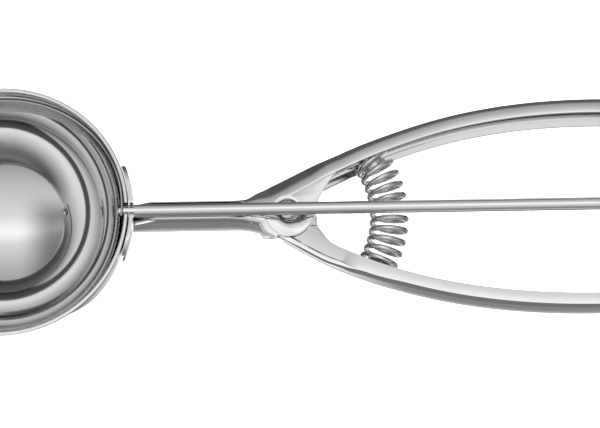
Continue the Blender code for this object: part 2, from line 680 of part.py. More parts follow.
def make_blade():
    """Sweeping blade: a half ring of strip inside the bowl, square at both ends."""
    over = BLADE_OVERRUN / BLADE_RADIUS
    outer = arc((0, 0), BLADE_RADIUS, -over, math.pi + over, 48)
    inner = arc((0, 0), BLADE_INSIDE, math.pi + over, -over, 48)
    turn = Matrix.Rotation(BLADE_REST, 4, "X")
    blade = flat_solid("blade", [outer + inner], -BLADE_WIDTH / 2, BLADE_WIDTH / 2, turn)
    part(blade, "blade", 0.78, 0.18, ROD_AXIS)
    combine(blade, cylinder("blade_hole_cutter", TENON_RADIUS + RUN_GAP,
                            (-2 * BLADE_RADIUS, 0, 0), (2 * BLADE_RADIUS, 0, 0)))


def make_far_pin():
    """Rivet and washer that carry the blade's far end in the bowl's wall."""
    head = BLADE_INSIDE - RUN_GAP
    out = BOWL_RADIUS + RUN_GAP
    profile = [(head - TENON_HEAD_HEIGHT, 0), (head - TENON_HEAD_HEIGHT, TENON_HEAD_RADIUS * 0.6),
               (head, TENON_HEAD_RADIUS), (head, TENON_RADIUS), (out, TENON_RADIUS),
               (out, FAR_PIN_HEAD_RADIUS),
               (out + FAR_PIN_HEAD_HEIGHT * 0.6, FAR_PIN_HEAD_RADIUS * 0.8),
               (out + FAR_PIN_HEAD_HEIGHT, FAR_PIN_HEAD_RADIUS * 0.35),
               (out + FAR_PIN_HEAD_HEIGHT, 0)]
    turn = Matrix.Rotation(math.pi, 4, "Z") @ FROM_Z_TO_X
    part(turned_solid("far_pin", along_x(profile), ROUND_STEPS, turn), "far_pin", 0.75, 0.15)


def tooth_flank(radius):
    """Half the angle of a pinion tooth at a radius, by its involute."""
    base = PINION_RADIUS * math.cos(PRESSURE_ANGLE)
    at_pitch = math.tan(PRESSURE_ANGLE) - PRESSURE_ANGLE
    half = math.pi / (2 * PINION_TEETH) - TOOTH_CLEARANCE / (2 * PINION_RADIUS)
    if radius <= base:
        return half + at_pitch - ROOT_RELIEF
    roll = math.acos(base / radius)
    return half + at_pitch - (math.tan(roll) - roll)


def make_pinion():
    """Ten-tooth pinion fixed on the rod."""
    root = PINION_RADIUS - 1.15 * MODULE
    tip = PINION_RADIUS + 0.85 * MODULE
    levels = [root, root + 0.35 * MODULE, PINION_RADIUS, (PINION_RADIUS + tip) / 2, tip]
    outline = []
    for tooth in range(PINION_TEETH):
        middle = math.pi / 2 + 2 * math.pi * tooth / PINION_TEETH
        for sign, run in ((-1, levels), (1, levels[::-1])):
            for radius in run:
                angle = middle + sign * tooth_flank(radius)
                outline.append((radius * math.cos(angle), radius * math.sin(angle)))
    bore = arc((0, 0), ROD_RADIUS + RUN_GAP, 0, 2 * math.pi, ROUND_STEPS)[:-1]
    turn = Matrix(((0, 0, 1, PINION_X), (1, 0, 0, 0), (0, 1, 0, 0), (0, 0, 0, 1)))
    half = PINION_LENGTH / 2
    pinion = flat_solid("pinion", [outline, bore], -half, half, turn)
    part(pinion, "pinion", 0.70, 0.25, ROD_AXIS)


def foot_outline(run, inset_out, inset_in, flange, first_x, last_x):
    """A plate's outline on a flange, between the outer line and the free edge."""
    steps = 6
    xs = [first_x + (last_x - first_x) * i / steps for i in range(steps + 1)]
    side = 1 if run[0][1] > 0 else -1
    outer = [(x, height_at(run, x) - side * inset_out) for x in xs]
    inner = [(x, height_at(run, x) - side * (flange - inset_in)) for x in xs]
    return outer + inner[::-1]


def small_rivets(name, places, low, head_seat, parent):
    """Round-headed rivets standing in a flange, each its own piece."""
    for i, (x, y) in enumerate(places):
        profile = [(0, head_seat + SMALL_RIVET_HEAD_HEIGHT),
                   (SMALL_RIVET_HEAD_RADIUS * 0.6, head_seat + SMALL_RIVET_HEAD_HEIGHT * 0.8),
                   (SMALL_RIVET_HEAD_RADIUS, head_seat), (SMALL_RIVET_RADIUS, head_seat),
                   (SMALL_RIVET_RADIUS, low), (0, low)]
        rivet = turned_solid(name, profile, 12, Matrix.Translation((x, y, 0)))
        part(rivet, f"{name}_{i + 1}", 0.75, 0.2, parent)


def make_rack():
    """Toothed strip bent round the lever's pivot, on an upright leg and a foot."""
    run = mirror(lever_run())
    leg_x = PIVOT_X + math.sqrt(RACK_RADIUS ** 2 - LEVER_WIDE_Y ** 2)
    leg_out = -height_at(run, leg_x) - BEND_RADIUS * 0.4
    leg_in = leg_out - LEVER_FLANGE + BEND_RADIUS * 0.7
    free = RACK_SPARE_TEETH * PITCH
    last = -(RACK_TRAVEL + RACK_SPARE_TEETH * PITCH)
    seat = LEVER_TOP + RUN_GAP
    outer_s, inner_s = (-RACK_RADIUS * math.asin(y / RACK_RADIUS) for y in (leg_out, leg_in))
    gap_half = PITCH / 4 + TOOTH_CLEARANCE / 2
    slant = math.tan(PRESSURE_ANGLE)
    teeth = []
    first_gap = math.floor(free / PITCH)
    last_gap = math.ceil(last / PITCH)
    for gap in range(first_gap, last_gap - 1, -1):
        middle = gap * PITCH
        mouth = gap_half + slant * (PINION_RADIUS - RACK_TIP)
        root = gap_half - slant * (RACK_ROOT - PINION_RADIUS)
        teeth += [(middle + mouth, RACK_TIP), (middle + root, RACK_ROOT),
                  (middle - root, RACK_ROOT), (middle - mouth, RACK_TIP)]
    front, back = teeth[0][0] + PITCH / 4, teeth[-1][0] - PITCH / 4
    top_steps = 16
    top = [(outer_s + (front - outer_s) * i / top_steps, RACK_TOP) for i in range(top_steps + 1)]
    outline = (top + [(front, RACK_TIP)] + teeth + [(back, RACK_TIP), (back - 0.0006, RACK_ROOT),
               (inner_s, RACK_ROOT), (inner_s, seat), (outer_s, seat)])
    bm = flat_bmesh([outline], -RACK_SHEET / 2, RACK_SHEET / 2)
    for v in bm.verts:
        turn, radius = v.co.x / RACK_RADIUS, RACK_RADIUS + v.co.z
        v.co = (PIVOT_X + radius * math.cos(turn), radius * math.sin(turn), v.co.y)
    rack = part(solid_object("rack", bm), "rack", 0.72, 0.25, LEVER_HINGE)
    first_x = leg_x - RACK_SHEET
    foot = foot_outline(run, BEND_RADIUS * 0.3, BEND_RADIUS * 0.2, LEVER_FLANGE,
                        first_x, first_x + RACK_FOOT_LENGTH)
    combine(rack, flat_solid("rack_foot", [foot], seat - RUN_GAP / 10, seat + RACK_FOOT_SHEET), "UNION")
    hole_depth = SHEET + 4 * RUN_GAP
    rivets = []
    for i in range(2):
        x = leg_x + RACK_SHEET + 0.0022 + i * SMALL_RIVET_SPACING
        rivets.append((x, height_at(run, x) + LEVER_FLANGE / 2))
    for i, (x, y) in enumerate(rivets):
        for obj, label in ((rack, "rack"), (bpy.data.objects["lever_arm"], "lever")):
            combine(obj, cylinder(f"{label}_rivet_hole_{i}", SMALL_RIVET_RADIUS + RUN_GAP,
                                  (x, y, seat - hole_depth), (x, y, seat + 2 * hole_depth), 12))
    small_rivets("rack_rivet", rivets, LEVER_TOP - SHEET, seat + RACK_FOOT_SHEET + RUN_GAP,
                 LEVER_HINGE)


def make_bracket():
    """Folded bracket over the rack: carries the rod's rear end on the fixed arm."""
    run = fixed_run()
    flange_out = height_at(run, PINION_X - BRACKET_HALF) - BEND_RADIUS
    flange_in = flange_out - FIXED_FLANGE + BEND_RADIUS * 1.2
    bore = ROD_RADIUS + RUN_GAP
    hub = bore + BRACKET_BORE_WALL
    seat = NEAR_FACE + RUN_GAP
    web_low = RACK_TOP + RUN_GAP
    web_top = web_low + BRACKET_SHEET
    foot_mid = seat + BRACKET_FOOT_SHEET / 2
    round_end = arc((0, 0), hub, math.pi, 2 * math.pi - math.radians(25), 10)
    outline = ([(hub + 0.0008, web_top), (-hub, web_top)] + round_end
               + [(flange_in, foot_mid), (flange_out, foot_mid),
                  (flange_out, seat + 0.0022), (flange_in, seat + 0.0032), (hub + 0.003, hub)])
    turn = Matrix(((0, 0, 1, PINION_X), (1, 0, 0, 0), (0, 1, 0, 0), (0, 0, 0, 1)))
    bracket = flat_solid("gear_bracket", [outline], -BRACKET_HALF, BRACKET_HALF, turn)
    part(bracket, "gear_bracket", 0.78, 0.16)
    combine(bracket, block("bracket_slot_cutter", (PINION_X - SLOT_HALF, -FIXED_WIDE_Y, -HANDLE_HEIGHT),
                           (PINION_X + SLOT_HALF, 2 * FIXED_WIDE_Y, web_low)))
    half = BRACKET_FOOT_LENGTH / 2
    foot = foot_outline(run, BEND_RADIUS * 0.6, BEND_RADIUS * 0.2, FIXED_FLANGE,
                        PINION_X - half, PINION_X + half)
    combine(bracket, flat_solid("bracket_foot", [foot], seat, seat + BRACKET_FOOT_SHEET), "UNION")
    combine(bracket, cylinder("bracket_bore_cutter", bore, (PINION_X - 2 * BRACKET_HALF, 0, 0),
                              (PINION_X + 2 * BRACKET_HALF, 0, 0)))
    hole_depth = SHEET + 4 * RUN_GAP
    rivets = []
    for side in (-1, 1):
        x = PINION_X + side * (BRACKET_HALF + half) / 2
        rivets.append((x, height_at(run, x) - FIXED_FLANGE / 2 - BEND_RADIUS * 0.2))
    for i, (x, y) in enumerate(rivets):
        for obj, label in ((bracket, "bracket"), (bpy.data.objects["fixed_handle"], "fixed")):
            combine(obj, cylinder(f"{label}_rivet_hole_{i}", SMALL_RIVET_RADIUS + RUN_GAP,
                                  (x, y, seat - hole_depth), (x, y, seat + 2 * hole_depth), 12))
    small_rivets("bracket_rivet", rivets, NEAR_FACE - SHEET,
                 seat + BRACKET_FOOT_SHEET + RUN_GAP, None)


def spring_point(share):
    """A point of the spring's wire centreline, share from 0 at the fixed arm to 1."""
    turn = SPRING_TOP + (SPRING_BOTTOM - SPRING_TOP) * share
    coil = 2 * math.pi * SPRING_COILS * share
    radius = SPRING_ARC_RADIUS + SPRING_COIL_RADIUS * math.cos(coil)
    return Vector((PIVOT_X + radius * math.cos(turn), radius * math.sin(turn),
                   MIDDLE + SPRING_COIL_RADIUS * math.sin(coil)))


def spring_points():
    """The wire's centreline: a helix round an arc, with a short straight run at each end."""
    count = SPRING_COILS * POINTS_PER_COIL
    points = [spring_point(i / count) for i in range(count + 1)]
    for end, step in ((0, 1), (-1, -2)):
        lead = (points[end] - points[step]).normalized()
        points.insert(0 if end == 0 else len(points), points[end] + lead * SPRING_WIRE)
    return points


def spring_least_gap(points):
    """Least clear gap between turns of the wire, measured on its points."""
    apart = POINTS_PER_COIL // 2
    least = min((a - b).length for i, a in enumerate(points) for b in points[i + apart:])
    return least - SPRING_WIRE


def make_spring():
    """Bent compression spring between the two arms, one unbroken wire."""
    points = spring_points()
    curve = bpy.data.curves.new("spring", "CURVE")
    curve.dimensions = "3D"
    curve.bevel_depth = SPRING_WIRE / 2
    curve.bevel_resolution = 1
    curve.use_fill_caps = True
    wire = curve.splines.new("POLY")
    wire.points.add(len(points) - 1)
    for point, place in zip(wire.points, points):
        point.co = (*place, 1)
    holder = bpy.data.objects.new("spring_line", curve)
    bpy.context.scene.collection.objects.link(holder)
    depsgraph = bpy.context.evaluated_depsgraph_get()
    mesh = bpy.data.meshes.new_from_object(holder.evaluated_get(depsgraph))
    bpy.data.objects.remove(holder)
    bm = bmesh.new()
    bm.from_mesh(mesh)
    bmesh.ops.remove_doubles(bm, verts=bm.verts, dist=1e-6)
    part(solid_object("spring", bm), "spring", 0.62, 0.2)
    print(f"spring's least gap to itself: {spring_least_gap(points) * 1000:.2f} mm")


def make_stud(name, turn, sign, run, parent):
    """Stud welded to an arm's web, inside the last coils of the spring."""
    out = Vector((math.cos(turn), math.sin(turn), 0))
    lead = sign * Vector((-math.sin(turn), math.cos(turn), 0))
    seat = Vector((PIVOT_X, 0, MIDDLE)) + SPRING_ARC_RADIUS * out
    reach = -STUD_LENGTH
    step = RUN_GAP / 10
    while all(abs(p.y) < abs(height_at(run, p.x)) - SHEET - 1.3 * RUN_GAP
              for p in (seat + lead * reach + side * STUD_RADIUS * out for side in (-1, 0, 1))):
        reach += step
    base = seat + lead * reach
    part(cylinder(name, STUD_RADIUS, base, base - lead * STUD_LENGTH, 20), name, 0.72, 0.25, parent)


def measure(objects):
    """Lowest and highest corner of the evaluated pieces, in world space."""
    depsgraph = bpy.context.evaluated_depsgraph_get()
    low, high = Vector((1e9,) * 3), Vector((-1e9,) * 3)
    for obj in objects:
        if obj.type == "EMPTY":
            continue
        seen = obj.evaluated_get(depsgraph)
        mesh = seen.to_mesh()
        for v in mesh.vertices:
            place = seen.matrix_world @ v.co
            low = Vector(map(min, low, place))
            high = Vector(map(max, high, place))
        seen.to_mesh_clear()
    return low, high


clear_scene()
PARTS = collection("ice_cream_scoop")
CUTTERS = collection("cutters")
SCOOP = bpy.data.objects.new("scoop_frame", None)
PARTS.objects.link(SCOOP)
LEVER_HINGE = empty("lever_hinge", (PIVOT_X, 0, MIDDLE), SCOOP)
ROD_AXIS = empty("rod_axis", (0, 0, 0), SCOOP)

make_bowl()
make_saddle()
make_fixed_handle()
make_lever()
make_pivot()
make_rod()
make_rod_clip()
make_blade()
make_far_pin()
make_pinion()
make_rack()
make_bracket()
make_spring()
make_stud("fixed_stud", SPRING_TOP, 1, fixed_run(), None)
make_stud("lever_stud", SPRING_BOTTOM, -1, mirror(lever_run()), LEVER_HINGE)

bpy.context.view_layer.update()
LOW, HIGH = measure(PARTS.objects)
SCOOP.location = (-(LOW.x + HIGH.x) / 2, -(LOW.y + HIGH.y) / 2, -LOW.z)
bpy.context.view_layer.update()
print("box", tuple(round(v, 5) for v in HIGH - LOW))
print("working origin at", tuple(round(v, 6) for v in SCOOP.location))
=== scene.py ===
"""Polished ice cream scoop with squeeze handles, dressed on its mechanical frame.

Lengths are in metres. Pieces are modelled from the centre of the bowl's sphere, with +X along
the rod, +Y towards the fixed handle and +Z out of the bowl's mouth, and their points are then
moved to the frame's own origin.
"""
import logging
import math
from collections.abc import Callable
from dataclasses import dataclass
from enum import Enum

import bmesh
import bpy
from mathutils import Matrix, Vector, geometry


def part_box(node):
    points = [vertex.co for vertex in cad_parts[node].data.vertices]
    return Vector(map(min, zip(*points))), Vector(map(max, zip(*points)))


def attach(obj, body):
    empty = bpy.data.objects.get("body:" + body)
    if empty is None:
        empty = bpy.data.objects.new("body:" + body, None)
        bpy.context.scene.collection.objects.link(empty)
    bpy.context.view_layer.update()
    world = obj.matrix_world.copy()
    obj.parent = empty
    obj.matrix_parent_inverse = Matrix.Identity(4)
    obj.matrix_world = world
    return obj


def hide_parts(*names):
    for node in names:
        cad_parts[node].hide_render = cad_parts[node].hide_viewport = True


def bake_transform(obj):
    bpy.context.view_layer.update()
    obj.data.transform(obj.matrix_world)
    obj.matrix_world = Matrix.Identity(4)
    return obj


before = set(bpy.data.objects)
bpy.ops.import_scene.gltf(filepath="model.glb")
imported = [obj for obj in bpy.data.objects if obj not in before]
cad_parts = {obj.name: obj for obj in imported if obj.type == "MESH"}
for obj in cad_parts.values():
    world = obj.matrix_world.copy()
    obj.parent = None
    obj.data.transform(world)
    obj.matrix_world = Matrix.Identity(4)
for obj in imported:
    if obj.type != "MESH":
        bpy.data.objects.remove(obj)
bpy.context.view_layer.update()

LOG = logging.getLogger("scoop")
Point2 = tuple[float, float]
Table = tuple[Point2, ...]
BOWL_RADIUS = 0.0300
BOWL_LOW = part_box("bowl")[0]
BOWL_CENTRE = Vector((BOWL_LOW[0] + BOWL_RADIUS, 0.0, BOWL_LOW[2] + BOWL_RADIUS))
PIVOT_X = 0.0672
GAP = 0.0003  # clear space between pieces that fit into each other
MODULE = 0.0009  # of the drive's teeth
PRESSURE = math.radians(20)  # slant of their flanks
DOUBLES = 1e-7  # points closer than this are one
STEEL_BLUE = 1.004  # polished steel is a touch bluer than grey
CLOUDED = 0.96  # its brightness where it is clouded
LINE_HEIGHT = 0.0001  # of the polishing lines
MIX_A, MIX_B, MIX_OUT = 6, 7, 2  # sockets of a Mix node that mixes colours


class Body(Enum):
    """The rigid bodies that pieces ride on."""

    FRAME = "frame"
    LEVER = "lever"
    ROD = "rod_body"


class Grain(Enum):
    """Which way the fine polishing lines of a finish run."""

    NONE = "none"
    ALONG_X = "along_x"
    ALONG_UV = "along_uv"


class Effects:
    """Shader groups that several finishes share, each built once, and the nodes that they need."""

    _made: dict[str, bpy.types.NodeTree] = {}

    @staticmethod
    def _new(name: str, inputs: dict[str, float], outputs: list[str]) -> bpy.types.NodeTree:
        """An empty group with a Vector input, float inputs and float outputs.

        Args:
            name: The group's name.
            inputs: Default value of each float input.
            outputs: Names of the float outputs.

        Returns:
            The new node group.
        """
        tree = bpy.data.node_groups.new(name, "ShaderNodeTree")
        tree.interface.new_socket("Vector", in_out="INPUT", socket_type="NodeSocketVector")
        for label, value in inputs.items():
            socket = tree.interface.new_socket(label, in_out="INPUT", socket_type="NodeSocketFloat")
            socket.default_value = value
        for label in outputs:
            tree.interface.new_socket(label, in_out="OUTPUT", socket_type="NodeSocketFloat")
        tree.nodes.new("NodeGroupInput")
        tree.nodes.new("NodeGroupOutput")
        return tree

    @staticmethod
    def calc(tree: bpy.types.NodeTree, kind: str, *values: object) -> bpy.types.NodeSocket:
        """A math node whose inputs are sockets or numbers.

        Args:
            tree: The tree that it stands in.
            kind: The node's operation.
            values: Sockets to link or numbers to set, in order.

        Returns:
            The node's output socket.
        """
        node = tree.nodes.new("ShaderNodeMath")
        node.operation = kind
        for i, value in enumerate(values):
            if isinstance(value, (int, float)):
                node.inputs[i].default_value = value
            else:
                tree.links.new(value, node.inputs[i])
        return node.outputs[0]

    @staticmethod
    def ranged(tree: bpy.types.NodeTree, value: bpy.types.NodeSocket, low: float, high: float,
               start: float = 0.0, stop: float = 1.0) -> bpy.types.NodeSocket:
        """A smooth step of a value between two levels.

        Args:
            tree: The tree that it stands in.
            value: The value's socket.
            low: Level at which the step starts.
            high: Level at which it ends.
            start: Result up to the low level.
            stop: Result from the high level on.

        Returns:
            The result's socket.
        """
        node = tree.nodes.new("ShaderNodeMapRange")
        node.interpolation_type = "SMOOTHSTEP"
        limits = {"From Min": low, "From Max": high, "To Min": start, "To Max": stop}
        for label, number in limits.items():
            node.inputs[label].default_value = number
        tree.links.new(value, node.inputs["Value"])
        return node.outputs[0]

    @staticmethod
    def noise(tree: bpy.types.NodeTree, place: bpy.types.NodeSocket,
              **settings: float) -> bpy.types.NodeSocket:
        """A noise over a place.

        Args:
            tree: The tree that it stands in.
            place: The place's socket.
            settings: Values of the node's inputs, by their names.

        Returns:
            The noise's socket.
        """
        node = tree.nodes.new("ShaderNodeTexNoise")
        for label, value in settings.items():
            node.inputs[label.capitalize()].default_value = value
        tree.links.new(place, node.inputs["Vector"])
        return node.outputs[0]

    @staticmethod
    def placed(tree: bpy.types.NodeTree, group: bpy.types.NodeTree, place: bpy.types.NodeSocket,
               **settings: float) -> bpy.types.bpy_prop_collection:
        """A group placed in a material.

        Args:
            tree: The material's tree.
            group: The node group.
            place: The socket that feeds its Vector.
            settings: Values of its other inputs, by their names.

        Returns:
            The group's outputs.
        """
        node = tree.nodes.new("ShaderNodeGroup")
        node.node_tree = group
        for label, value in settings.items():
            node.inputs[label.capitalize()].default_value = value
        tree.links.new(place, node.inputs["Vector"])
        return node.outputs

    @classmethod
    def hairlines(cls) -> bpy.types.NodeTree:
        """Fine polishing lines: noise drawn out along the first axis of the given vector.

        Returns:
            The group, with the outputs Height and Mask.
        """
        if "hairlines" in cls._made:
            return cls._made["hairlines"]
        tree = cls._new("hairlines", {"Density": 4000.0, "Stretch": 60.0}, ["Height", "Mask"])
        source = tree.nodes["Group Input"].outputs
        along = cls.calc(tree, "DIVIDE", source["Density"], source["Stretch"])
        squeeze = tree.nodes.new("ShaderNodeCombineXYZ")
        tree.links.new(along, squeeze.inputs[0])
        tree.links.new(source["Density"], squeeze.inputs[1])
        tree.links.new(source["Density"], squeeze.inputs[2])
        drawn = tree.nodes.new("ShaderNodeVectorMath")
        drawn.operation = "MULTIPLY"
        tree.links.new(source["Vector"], drawn.inputs[0])
        tree.links.new(squeeze.outputs[0], drawn.inputs[1])
        noise = cls.noise(tree, drawn.outputs[0], scale=1.0, detail=3.0, roughness=0.6)
        sink = tree.nodes["Group Output"].inputs
        tree.links.new(noise, sink["Height"])
        tree.links.new(cls.ranged(tree, noise, 0.42, 0.72), sink["Mask"])
        cls._made["hairlines"] = tree
        return tree

    @classmethod
    def handling(cls) -> bpy.types.NodeTree:
        """Faint clouding from handling: a roughness that drifts over the surface.

        Returns:
            The group, with the outputs Roughness and Cloud.
        """
        if "handling" in cls._made:
            return cls._made["handling"]
        inputs = {"Base": 0.08, "Spread": 0.05, "Scale": 60.0}
        tree = cls._new("handling", inputs, ["Roughness", "Cloud"])
        source = tree.nodes["Group Input"].outputs
        noise = cls.noise(tree, source["Vector"], detail=4.0, roughness=0.55, distortion=0.4)
        tree.links.new(source["Scale"], noise.node.inputs["Scale"])
        cloud = cls.ranged(tree, noise, 0.40, 0.75)
        spread = cls.calc(tree, "MULTIPLY", cloud, source["Spread"])
        sink = tree.nodes["Group Output"].inputs
        tree.links.new(cls.calc(tree, "ADD", spread, source["Base"]), sink["Roughness"])
        tree.links.new(cloud, sink["Cloud"])
        cls._made["handling"] = tree
        return tree


@dataclass(frozen=True)
class Finish:
    """One steel finish and how it is shaded."""

    name: str
    tone: float = 0.84
    roughness: float = 0.07
    clouding: float = 0.04
    grain: Grain = Grain.NONE
    grain_density: float = 4000.0
    grain_depth: float = 0.02
    grain_stretch: float = 60.0
    grain_shade: float = 0.0

    def material(self) -> bpy.types.Material:
        """The finish as a node material, built once.

        Returns:
            The material.
        """
        known = bpy.data.materials.get(self.name)
        if known is not None:
            return known
        made = bpy.data.materials.new(self.name)
        made.use_nodes = True
        tree = made.node_tree
        surface = tree.nodes["Principled BSDF"]
        surface.inputs["Metallic"].default_value = 1.0
        place = tree.nodes.new("ShaderNodeTexCoord")
        handling = Effects.placed(tree, Effects.handling(), place.outputs["Object"],
                                  base=self.roughness, spread=self.clouding)
        tree.links.new(handling["Roughness"], surface.inputs["Roughness"])
        shade = tree.nodes.new("ShaderNodeMix")
        shade.data_type = "RGBA"
        for socket, tone in ((MIX_A, self.tone), (MIX_B, self.tone * (CLOUDED - self.grain_shade))):
            shade.inputs[socket].default_value = (tone, tone, tone * STEEL_BLUE, 1.0)
        tree.links.new(shade.outputs[MIX_OUT], surface.inputs["Base Color"])
        if self.grain is Grain.NONE:
            tree.links.new(handling["Cloud"], shade.inputs[0])
            return made
        along = "UV" if self.grain is Grain.ALONG_UV else "Object"
        lines = Effects.placed(tree, Effects.hairlines(), place.outputs[along],
                               density=self.grain_density, stretch=self.grain_stretch)
        bump = tree.nodes.new("ShaderNodeBump")
        bump.inputs["Strength"].default_value = self.grain_depth
        bump.inputs["Distance"].default_value = LINE_HEIGHT
        tree.links.new(lines["Height"], bump.inputs["Height"])
        tree.links.new(bump.outputs["Normal"], surface.inputs["Normal"])
        tree.links.new(lines["Mask"], shade.inputs[0])
        return made


MIRROR = Finish("mirror_steel", 0.70, 0.035, 0.03)
POLISHED = Finish("polished_steel", 0.70, 0.06, 0.04, Grain.ALONG_X, 9000.0, 0.012, 90.0)
ROD_FINISH = Finish("ground_rod", 0.75, 0.06, 0.03, Grain.ALONG_X, 14000.0, 0.02, 120.0)
BRUSHED = Finish("brushed_strip", 0.68, 0.16, 0.06, Grain.ALONG_UV, 6000.0, 0.10, 120.0, 0.10)
WIRE = Finish("drawn_wire", 0.72, 0.14, 0.06)
FORMED = Finish("formed_steel", 0.66, 0.16, 0.08)
MACHINED = Finish("machined_steel", 0.62, 0.24, 0.10)


class Bench:
    """Modelling steps that every sub-assembly uses."""

    @staticmethod
    def clear() -> None:
        """Leave edit mode and deselect every object."""
        if bpy.context.object is not None and bpy.context.object.mode != "OBJECT":
            bpy.ops.object.mode_set(mode="OBJECT")
        bpy.ops.object.select_all(action="DESELECT")

    @staticmethod
    def choose(obj: bpy.types.Object) -> None:
        """Make an object the only selected one, and the active one.

        Args:
            obj: The object.
        """
        Bench.clear()
        obj.select_set(True)
        bpy.context.view_layer.objects.active = obj

    @staticmethod
    def edit_all(obj: bpy.types.Object) -> None:
        """Enter edit mode with everything on an object selected.

        Args:
            obj: The mesh object.
        """
        Bench.choose(obj)
        bpy.ops.object.mode_set(mode="EDIT")
        bpy.ops.mesh.select_all(action="SELECT")

    @staticmethod
    def leave() -> None:
        """Back to object mode."""
        bpy.ops.object.mode_set(mode="OBJECT")

    @staticmethod
    def outwards() -> None:
        """In edit mode: turn all normals of the object outwards, and go back to object mode."""
        bpy.ops.mesh.select_all(action="SELECT")
        bpy.ops.mesh.normals_make_consistent(inside=False)
        Bench.leave()

    @staticmethod
    def close(obj: bpy.types.Object) -> None:
        """Make a drawn sheet one closed solid: merge its seam and fill its two ends.

        Args:
            obj: The mesh object.
        """
        Bench.edit_all(obj)
        bpy.ops.mesh.remove_doubles(threshold=DOUBLES)
        bpy.ops.mesh.fill_holes(sides=0)
        Bench.outwards()

    @staticmethod
    def unwrap(obj: bpy.types.Object, place: Callable[[Vector], Point2]) -> None:
        """Give a piece a UV map in metres.

        Args:
            obj: The mesh object.
            place: Gives a point's UV from its place.
        """
        layer = obj.data.uv_layers.new(name="grain")
        for loop in obj.data.loops:
            layer.data[loop.index].uv = place(obj.data.vertices[loop.vertex_index].co)

    @staticmethod
    def plate(name: str, outline: list[Point2], low: float, high: float) -> bpy.types.Object:
        """A filled circle drawn out to an outline and extruded.

        Args:
            name: The object's name.
            outline: Corners in XY, in order.
            low: Z of the lower face.
            high: Z of the upper face.

        Returns:
            The plate.
        """
        Bench.clear()
        bpy.ops.mesh.primitive_circle_add(vertices=len(outline), radius=0.01, fill_type="NGON")
        obj = bpy.context.object
        obj.name = name
        for corner, (x, y) in zip(obj.data.vertices, outline):
            corner.co = (x, y, low)
        Bench.edit_all(obj)
        bpy.ops.mesh.extrude_region_move(TRANSFORM_OT_translate={"value": (0, 0, high - low)})
        Bench.outwards()
        return obj

    @staticmethod
    def sheet(name: str, rows: list[list[Vector]]) -> bpy.types.Object:
        """A primitive grid whose points are drawn to rows of places.

        Args:
            name: The object's name.
            rows: Rows of equal length, each a list of places.

        Returns:
            The open sheet.
        """
        across, along = len(rows[0]) - 1, len(rows) - 1
        Bench.clear()
        bpy.ops.mesh.primitive_grid_add(x_subdivisions=across, y_subdivisions=along, size=1)
        obj = bpy.context.object
        obj.name = name
        places = [place for row in rows for place in row]
        for corner, place in zip(obj.data.vertices, places):
            corner.co = place
        return obj

    @staticmethod
    def lathe(name: str, profile: list[Point2], steps: int,
              turn: Matrix | None = None) -> bpy.types.Object:
        """A profile of (radius, height) points spun about Z.

        Args:
            name: The object's name.
            profile: The points; a profile that starts off the axis is closed to a ring.
            steps: Segments of a full turn.
            turn: Where the finished shape goes.

        Returns:
            The turned piece.
        """
        closed = profile[0][0] > 0 and profile[-1][0] > 0
        Bench.clear()
        bpy.ops.mesh.primitive_circle_add(vertices=len(profile), radius=0.01)
        obj = bpy.context.object
        obj.name = name
        for corner, (radius, height) in zip(obj.data.vertices, profile):
            corner.co = (radius, 0, height)
        if not closed:
            bm = bmesh.new()
            bm.from_mesh(obj.data)
            bm.verts.ensure_lookup_table()
            ends = {bm.verts[0], bm.verts[len(profile) - 1]}
            seam = [e for e in bm.edges if set(e.verts) == ends]
            bmesh.ops.delete(bm, geom=seam, context="EDGES")
            bm.to_mesh(obj.data)
            bm.free()
        Bench.edit_all(obj)
        bpy.ops.mesh.spin(steps=steps, angle=2 * math.pi, center=(0, 0, 0), axis=(0, 0, 1))
        bpy.ops.mesh.select_all(action="SELECT")
        bpy.ops.mesh.remove_doubles(threshold=DOUBLES)
        bpy.ops.mesh.dissolve_degenerate(threshold=DOUBLES)
        Bench.outwards()
        if turn is not None:
            obj.data.transform(turn)
        return obj

    @staticmethod
    def bar(name: str, radius: float, start: Vector, end: Vector,
            sides: int = 48) -> bpy.types.Object:
        """A round bar between two places.

        Args:
            name: The object's name.
            radius: Its radius.
            start: Middle of one end.
            end: Middle of the other end.
            sides: Segments round it.

        Returns:
            The bar.
        """
        Bench.clear()
        depth = (end - start).length
        bpy.ops.mesh.primitive_cylinder_add(vertices=sides, radius=radius, depth=depth)
        obj = bpy.context.object
        obj.name = name
        turn = (end - start).to_track_quat("Z", "Y").to_matrix().to_4x4()
        turn.translation = (start + end) / 2
        obj.data.transform(turn)
        return obj

    @staticmethod
    def box(name: str, low: Vector, high: Vector) -> bpy.types.Object:
        """A block between two corners, used as a cutting tool.

        Args:
            name: The object's name.
            low: Its lowest corner.
            high: Its highest corner.

        Returns:
            The block.
        """
        Bench.clear()
        bpy.ops.mesh.primitive_cube_add(size=1)
        obj = bpy.context.object
        obj.name = name
        size = Matrix.Diagonal((*(high - low), 1))
        obj.data.transform(Matrix.Translation((low + high) / 2) @ size)
        return obj

    @staticmethod
    def apply(obj: bpy.types.Object, kind: str, **settings: object) -> None:
        """Add a modifier and apply it.

        Args:
            obj: The piece.
            kind: The modifier's type.
            settings: Its properties.
        """
        Bench.choose(obj)
        step = obj.modifiers.new("step", kind)
        for key, value in settings.items():
            setattr(step, key, value)
        bpy.ops.object.modifier_apply(modifier=step.name)

    @staticmethod
    def combine(obj: bpy.types.Object, tool: bpy.types.Object,
                operation: str = "DIFFERENCE") -> None:
        """Cut, unite or intersect a piece with a tool, and remove the tool.

        Args:
            obj: The piece.
            tool: The other solid.
            operation: DIFFERENCE, UNION or INTERSECT.
        """
        Bench.apply(obj, "BOOLEAN", operation=operation, object=tool, solver="EXACT")
        bpy.data.objects.remove(tool)

